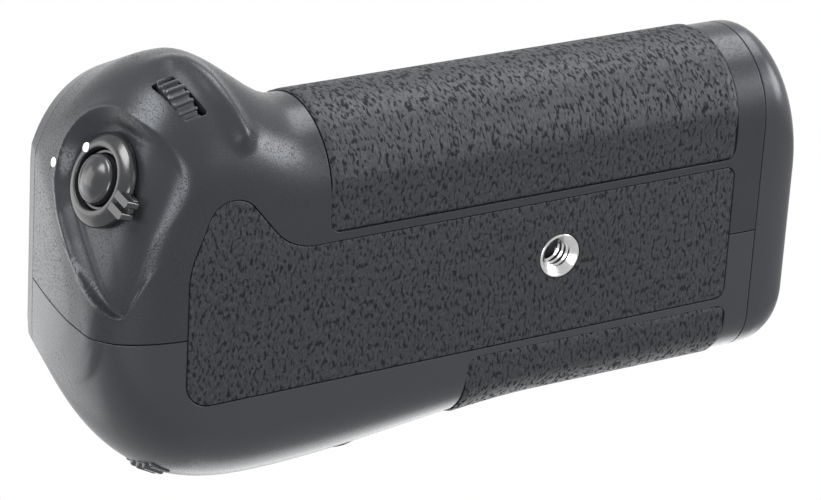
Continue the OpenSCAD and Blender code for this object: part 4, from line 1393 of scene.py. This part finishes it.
@dataclass
class TrayCap:
    """Cap of the battery tray at the end of the grip."""

    wall: float = 1.8
    floor: float = 48.3
    latch: Pair = (-1.0, 14.85)
    key_d: float = 17.6
    key_floor: float = 49.4
    shaft_d: float = 5.6
    ends: Pair = (40.0, 60.0)

    def build(self, finish: Finishes) -> None:
        """Models the cap."""
        cap = loft_form("end_cap", 0.0, HOUSING.parting + HOUSING.gap / 2, -HOUSING.left, CAP_SKIN)
        low, high = self.ends
        Studio.combine(cap, loft_form("core", -self.wall, low, self.floor, PLAIN), Bool.CUT)
        place = Matrix.Translation((0, *self.latch)) @ Matrix.Rotation(math.pi / 2, 4, "Y")
        shaft, key = self.shaft_d / 2, self.key_d / 2
        profile = [(shaft, low), (shaft, self.key_floor), (key, self.key_floor), (key, high)]
        Studio.bore(cap, profile, 96, place)
        enter(cap, 28, finish.plain_shell_painted_lighter, "tray", ["tray_cap"])


@dataclass
class TripodBush:
    """Threaded bush in the bottom."""

    minor_d: float = 5.2
    outer_d: float = 8.3
    pitch: float = 1.27
    depth: float = 5.4
    flange_d: float = 15.0
    flange_low: float = 4.2
    mouth_d: float = 7.44
    mouth_h: float = 0.9
    edge: float = 0.15
    thread_in: float = 0.2
    thread_h: float = 0.55
    thread_root: float = 0.3
    thread_tip: float = 0.08
    thread_share: float = 0.46

    def build(self, finish: Finishes) -> None:
        """Models the bush with a cut thread."""
        r, flange, mouth = self.outer_d / 2, self.flange_d / 2, self.mouth_d / 2
        inner = self.minor_d / 2 - self.thread_in
        outside = [(mouth, 0.0), (r - self.edge, 0.0), (r, self.edge), (r, self.flange_low)]
        inside = [(flange, self.flange_low), (flange, self.depth), (inner, self.depth), (inner, self.mouth_h)]
        bush = Studio.turned("tripod_thread", [*outside, *inside, (mouth, 0.0)], 96)
        Studio.combine(bush, self.thread(), Bool.CUT)
        enter(bush, 30, finish.chrome, "housing", ["tripod_bush"])

    def thread(self) -> Piece:
        """The cutter of the thread, one helical groove."""
        per_turn = 40
        turns = self.depth / self.pitch + 2
        base = self.minor_d / 2 - self.thread_root
        tip, half = self.minor_d / 2 + self.thread_h, self.pitch * self.thread_share
        section = ((base, -half), (tip, -self.thread_tip), (tip, self.thread_tip), (base, half))
        rings = []
        for k in range(int(turns * per_turn) + 1):
            a = 2 * math.pi * k / per_turn
            z = self.pitch * (k / per_turn - 1)
            rings.append([Vector((r * math.cos(a), r * math.sin(a), z + rise)) for r, rise in section])
        return Studio.loft("thread", rings)


@dataclass
class CadLooks:
    """Finishes and edge rounding of the solids that show as they are."""

    metal: tuple[str, ...] = (
        "tripod_plate", "front_dial_axle", "front_dial_bracket", "rear_dial_axle",
        "rear_dial_bracket", "locating_pins", "mount_screw", "thumbwheel_axle", "tray_springs", "latch_plate",
        "latch_arm", "housing_screws",
    )
    brass: tuple[str, ...] = (
        "chamber_terminals", "contact_pins", "screw_gear", "screw_bush", "tray_contacts",
    )
    black: tuple[str, ...] = (
        "contact_block", "latch_key", "thumbwheel", "focus_button", "focus_seat", "selector_pad",
    )
    boards: tuple[str, ...] = ("shutter_switch", "focus_switch", "control_board")
    moulded: tuple[str, ...] = ("battery_chamber", "tray_frame", "selector_cradle", "selector_base")

    def build(self, frame: dict, finish: Finishes) -> None:
        """Dresses the solids."""
        looks = (
            (self.metal, finish.steel), (self.brass, finish.brass), (self.black, finish.satin),
            (self.boards, finish.laminate), (self.moulded, finish.tray),
        )
        for names, material in looks:
            for name in names:
                dress(frame["nodes"][name], material)


@dataclass
class Set:
    """Floor, lamps, world and camera."""

    right: Triple = (0.850, -0.0566, -0.524)
    down: Triple = (-0.1615, 0.9185, -0.361)
    centre: Triple = (-22.35, 0.515, 14.21)
    distance: float = 654.9
    lens: float = 162.2
    sensor: float = 36.0
    clip: float = 0.01
    floor_tone: float = 0.86
    floor_z: float = -0.0004
    dim: float = 0.35
    lamps: list[tuple[str, Triple, float, float]] = field(default_factory=lambda: [
        ("key_lamp", (-0.55, -0.8, 0.12), 0.5, 11.0),
        ("end_lamp", (-0.5, 0.39, 0.77), 0.8, 2.5),
        ("dish_lamp", (-0.77, -0.12, 0.62), 0.6, 3.2),
        ("neck_lamp", (0.84, -0.38, -0.4), 0.5, 11.0),
        ("low_lamp", (0.5, -0.35, -0.8), 0.35, 0.8),
        ("ridge_lamp", (0.45, -0.85, 0.2), 0.6, 9.0),
        ("under_lamp", (-0.54, -0.05, -0.83), 0.5, 8.0),
        ("heel_lamp", (0.44, 0.83, 0.33), 0.6, 2.4),
        ("top_lamp", (0.2, 0.1, 1.1), 1.2, 1.0),
    ])

    def build(self) -> None:
        """Sets up the stage."""
        self.camera()
        self.floor()
        self.world()
        aim = Vector(self.centre) * MM
        for name, place, size, power in self.lamps:
            self.lamp(name, Vector(place), aim, size, power)
        bpy.context.scene.view_settings.view_transform = "Standard"

    def camera(self) -> None:
        """Places the camera where the photograph was taken from."""
        right = Vector(self.right).normalized()
        ahead = right.cross(Vector(self.down)).normalized()
        up = -ahead.cross(right).normalized()
        turn = Matrix((right, up, -ahead)).transposed().to_4x4()
        bpy.ops.object.camera_add()
        camera = bpy.context.active_object
        camera.matrix_world = Matrix.Translation((Vector(self.centre) - ahead * self.distance) * MM) @ turn
        camera.data.lens = self.lens
        camera.data.sensor_width = self.sensor
        camera.data.clip_start = self.clip
        bpy.context.scene.camera = camera

    def floor(self) -> None:
        """Lays a pale floor that shows only from above."""
        bpy.ops.object.select_all(action="DESELECT")
        bpy.ops.mesh.primitive_plane_add(size=6, location=(0, 0, self.floor_z))
        floor = Studio.named("floor")
        g = Graph("pale_floor")
        g.set(Base_Color=grey(self.floor_tone), Roughness=0.7)
        clear = g.node("ShaderNodeBsdfTransparent").out()
        seen = g.node("ShaderNodeLightPath").out("Is Camera Ray")
        under = g.node("ShaderNodeNewGeometry").out("Backfacing").most(1 - seen)
        inputs = {0: under, 1: Signal(g, g.surface.outputs[0]), 2: clear}
        mixed = g.node("ShaderNodeMixShader", None, inputs).out()
        g.feed(g.tree.nodes["Material Output"].inputs["Surface"], mixed)
        dress(floor, g.material)

    def world(self) -> None:
        """Lights the stage all round and shows it white."""
        world = bpy.data.worlds.new("white_room")
        world.use_nodes = True
        g = Nodes(world.node_tree)
        path = g.node("ShaderNodeLightPath")
        bounced = path.out("Is Glossy Ray").most(path.out("Is Transmission Ray"))
        seen = path.out("Is Camera Ray").most(bounced)
        back = g.tree.nodes["Background"]
        g.feed(back.inputs["Color"], grey(1.0))
        g.feed(back.inputs["Strength"], self.dim + seen * (1 - self.dim))
        bpy.context.scene.world = world

    @staticmethod
    def lamp(name: str, place: Vector, aim: Vector, size: float, power: float) -> None:
        """Adds one soft lamp.

        Args:
            name: Name of the lamp.
            place: Where it hangs, in metres.
            aim: What it points at.
            size: Width of its face.
            power: Its power in watts.
        """
        bpy.ops.object.light_add(type="AREA", location=place)
        lamp = bpy.context.active_object
        lamp.name = name
        lamp.rotation_euler = (aim - place).to_track_quat("-Z", "Y").to_euler()
        lamp.data.size = size
        lamp.data.energy = power


def main() -> None:
    """Builds the looks of the grip."""
    logging.basicConfig(level=logging.INFO)
    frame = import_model()
    Set().build()
    finish = Finishes()
    CadLooks().build(frame, finish)
    casing = HOUSING.build_front(finish)
    HOUSING.build_rear(finish)
    HOUSING.build_plate(finish)
    PADS.build(finish)
    RELEASE.build(finish, casing)
    for dial in (FRONT_DIAL, REAR_DIAL):
        dial.build(finish)
    TrayCap().build(finish)
    TripodBush().build(finish)


if __name__ == "__main__":
    main()
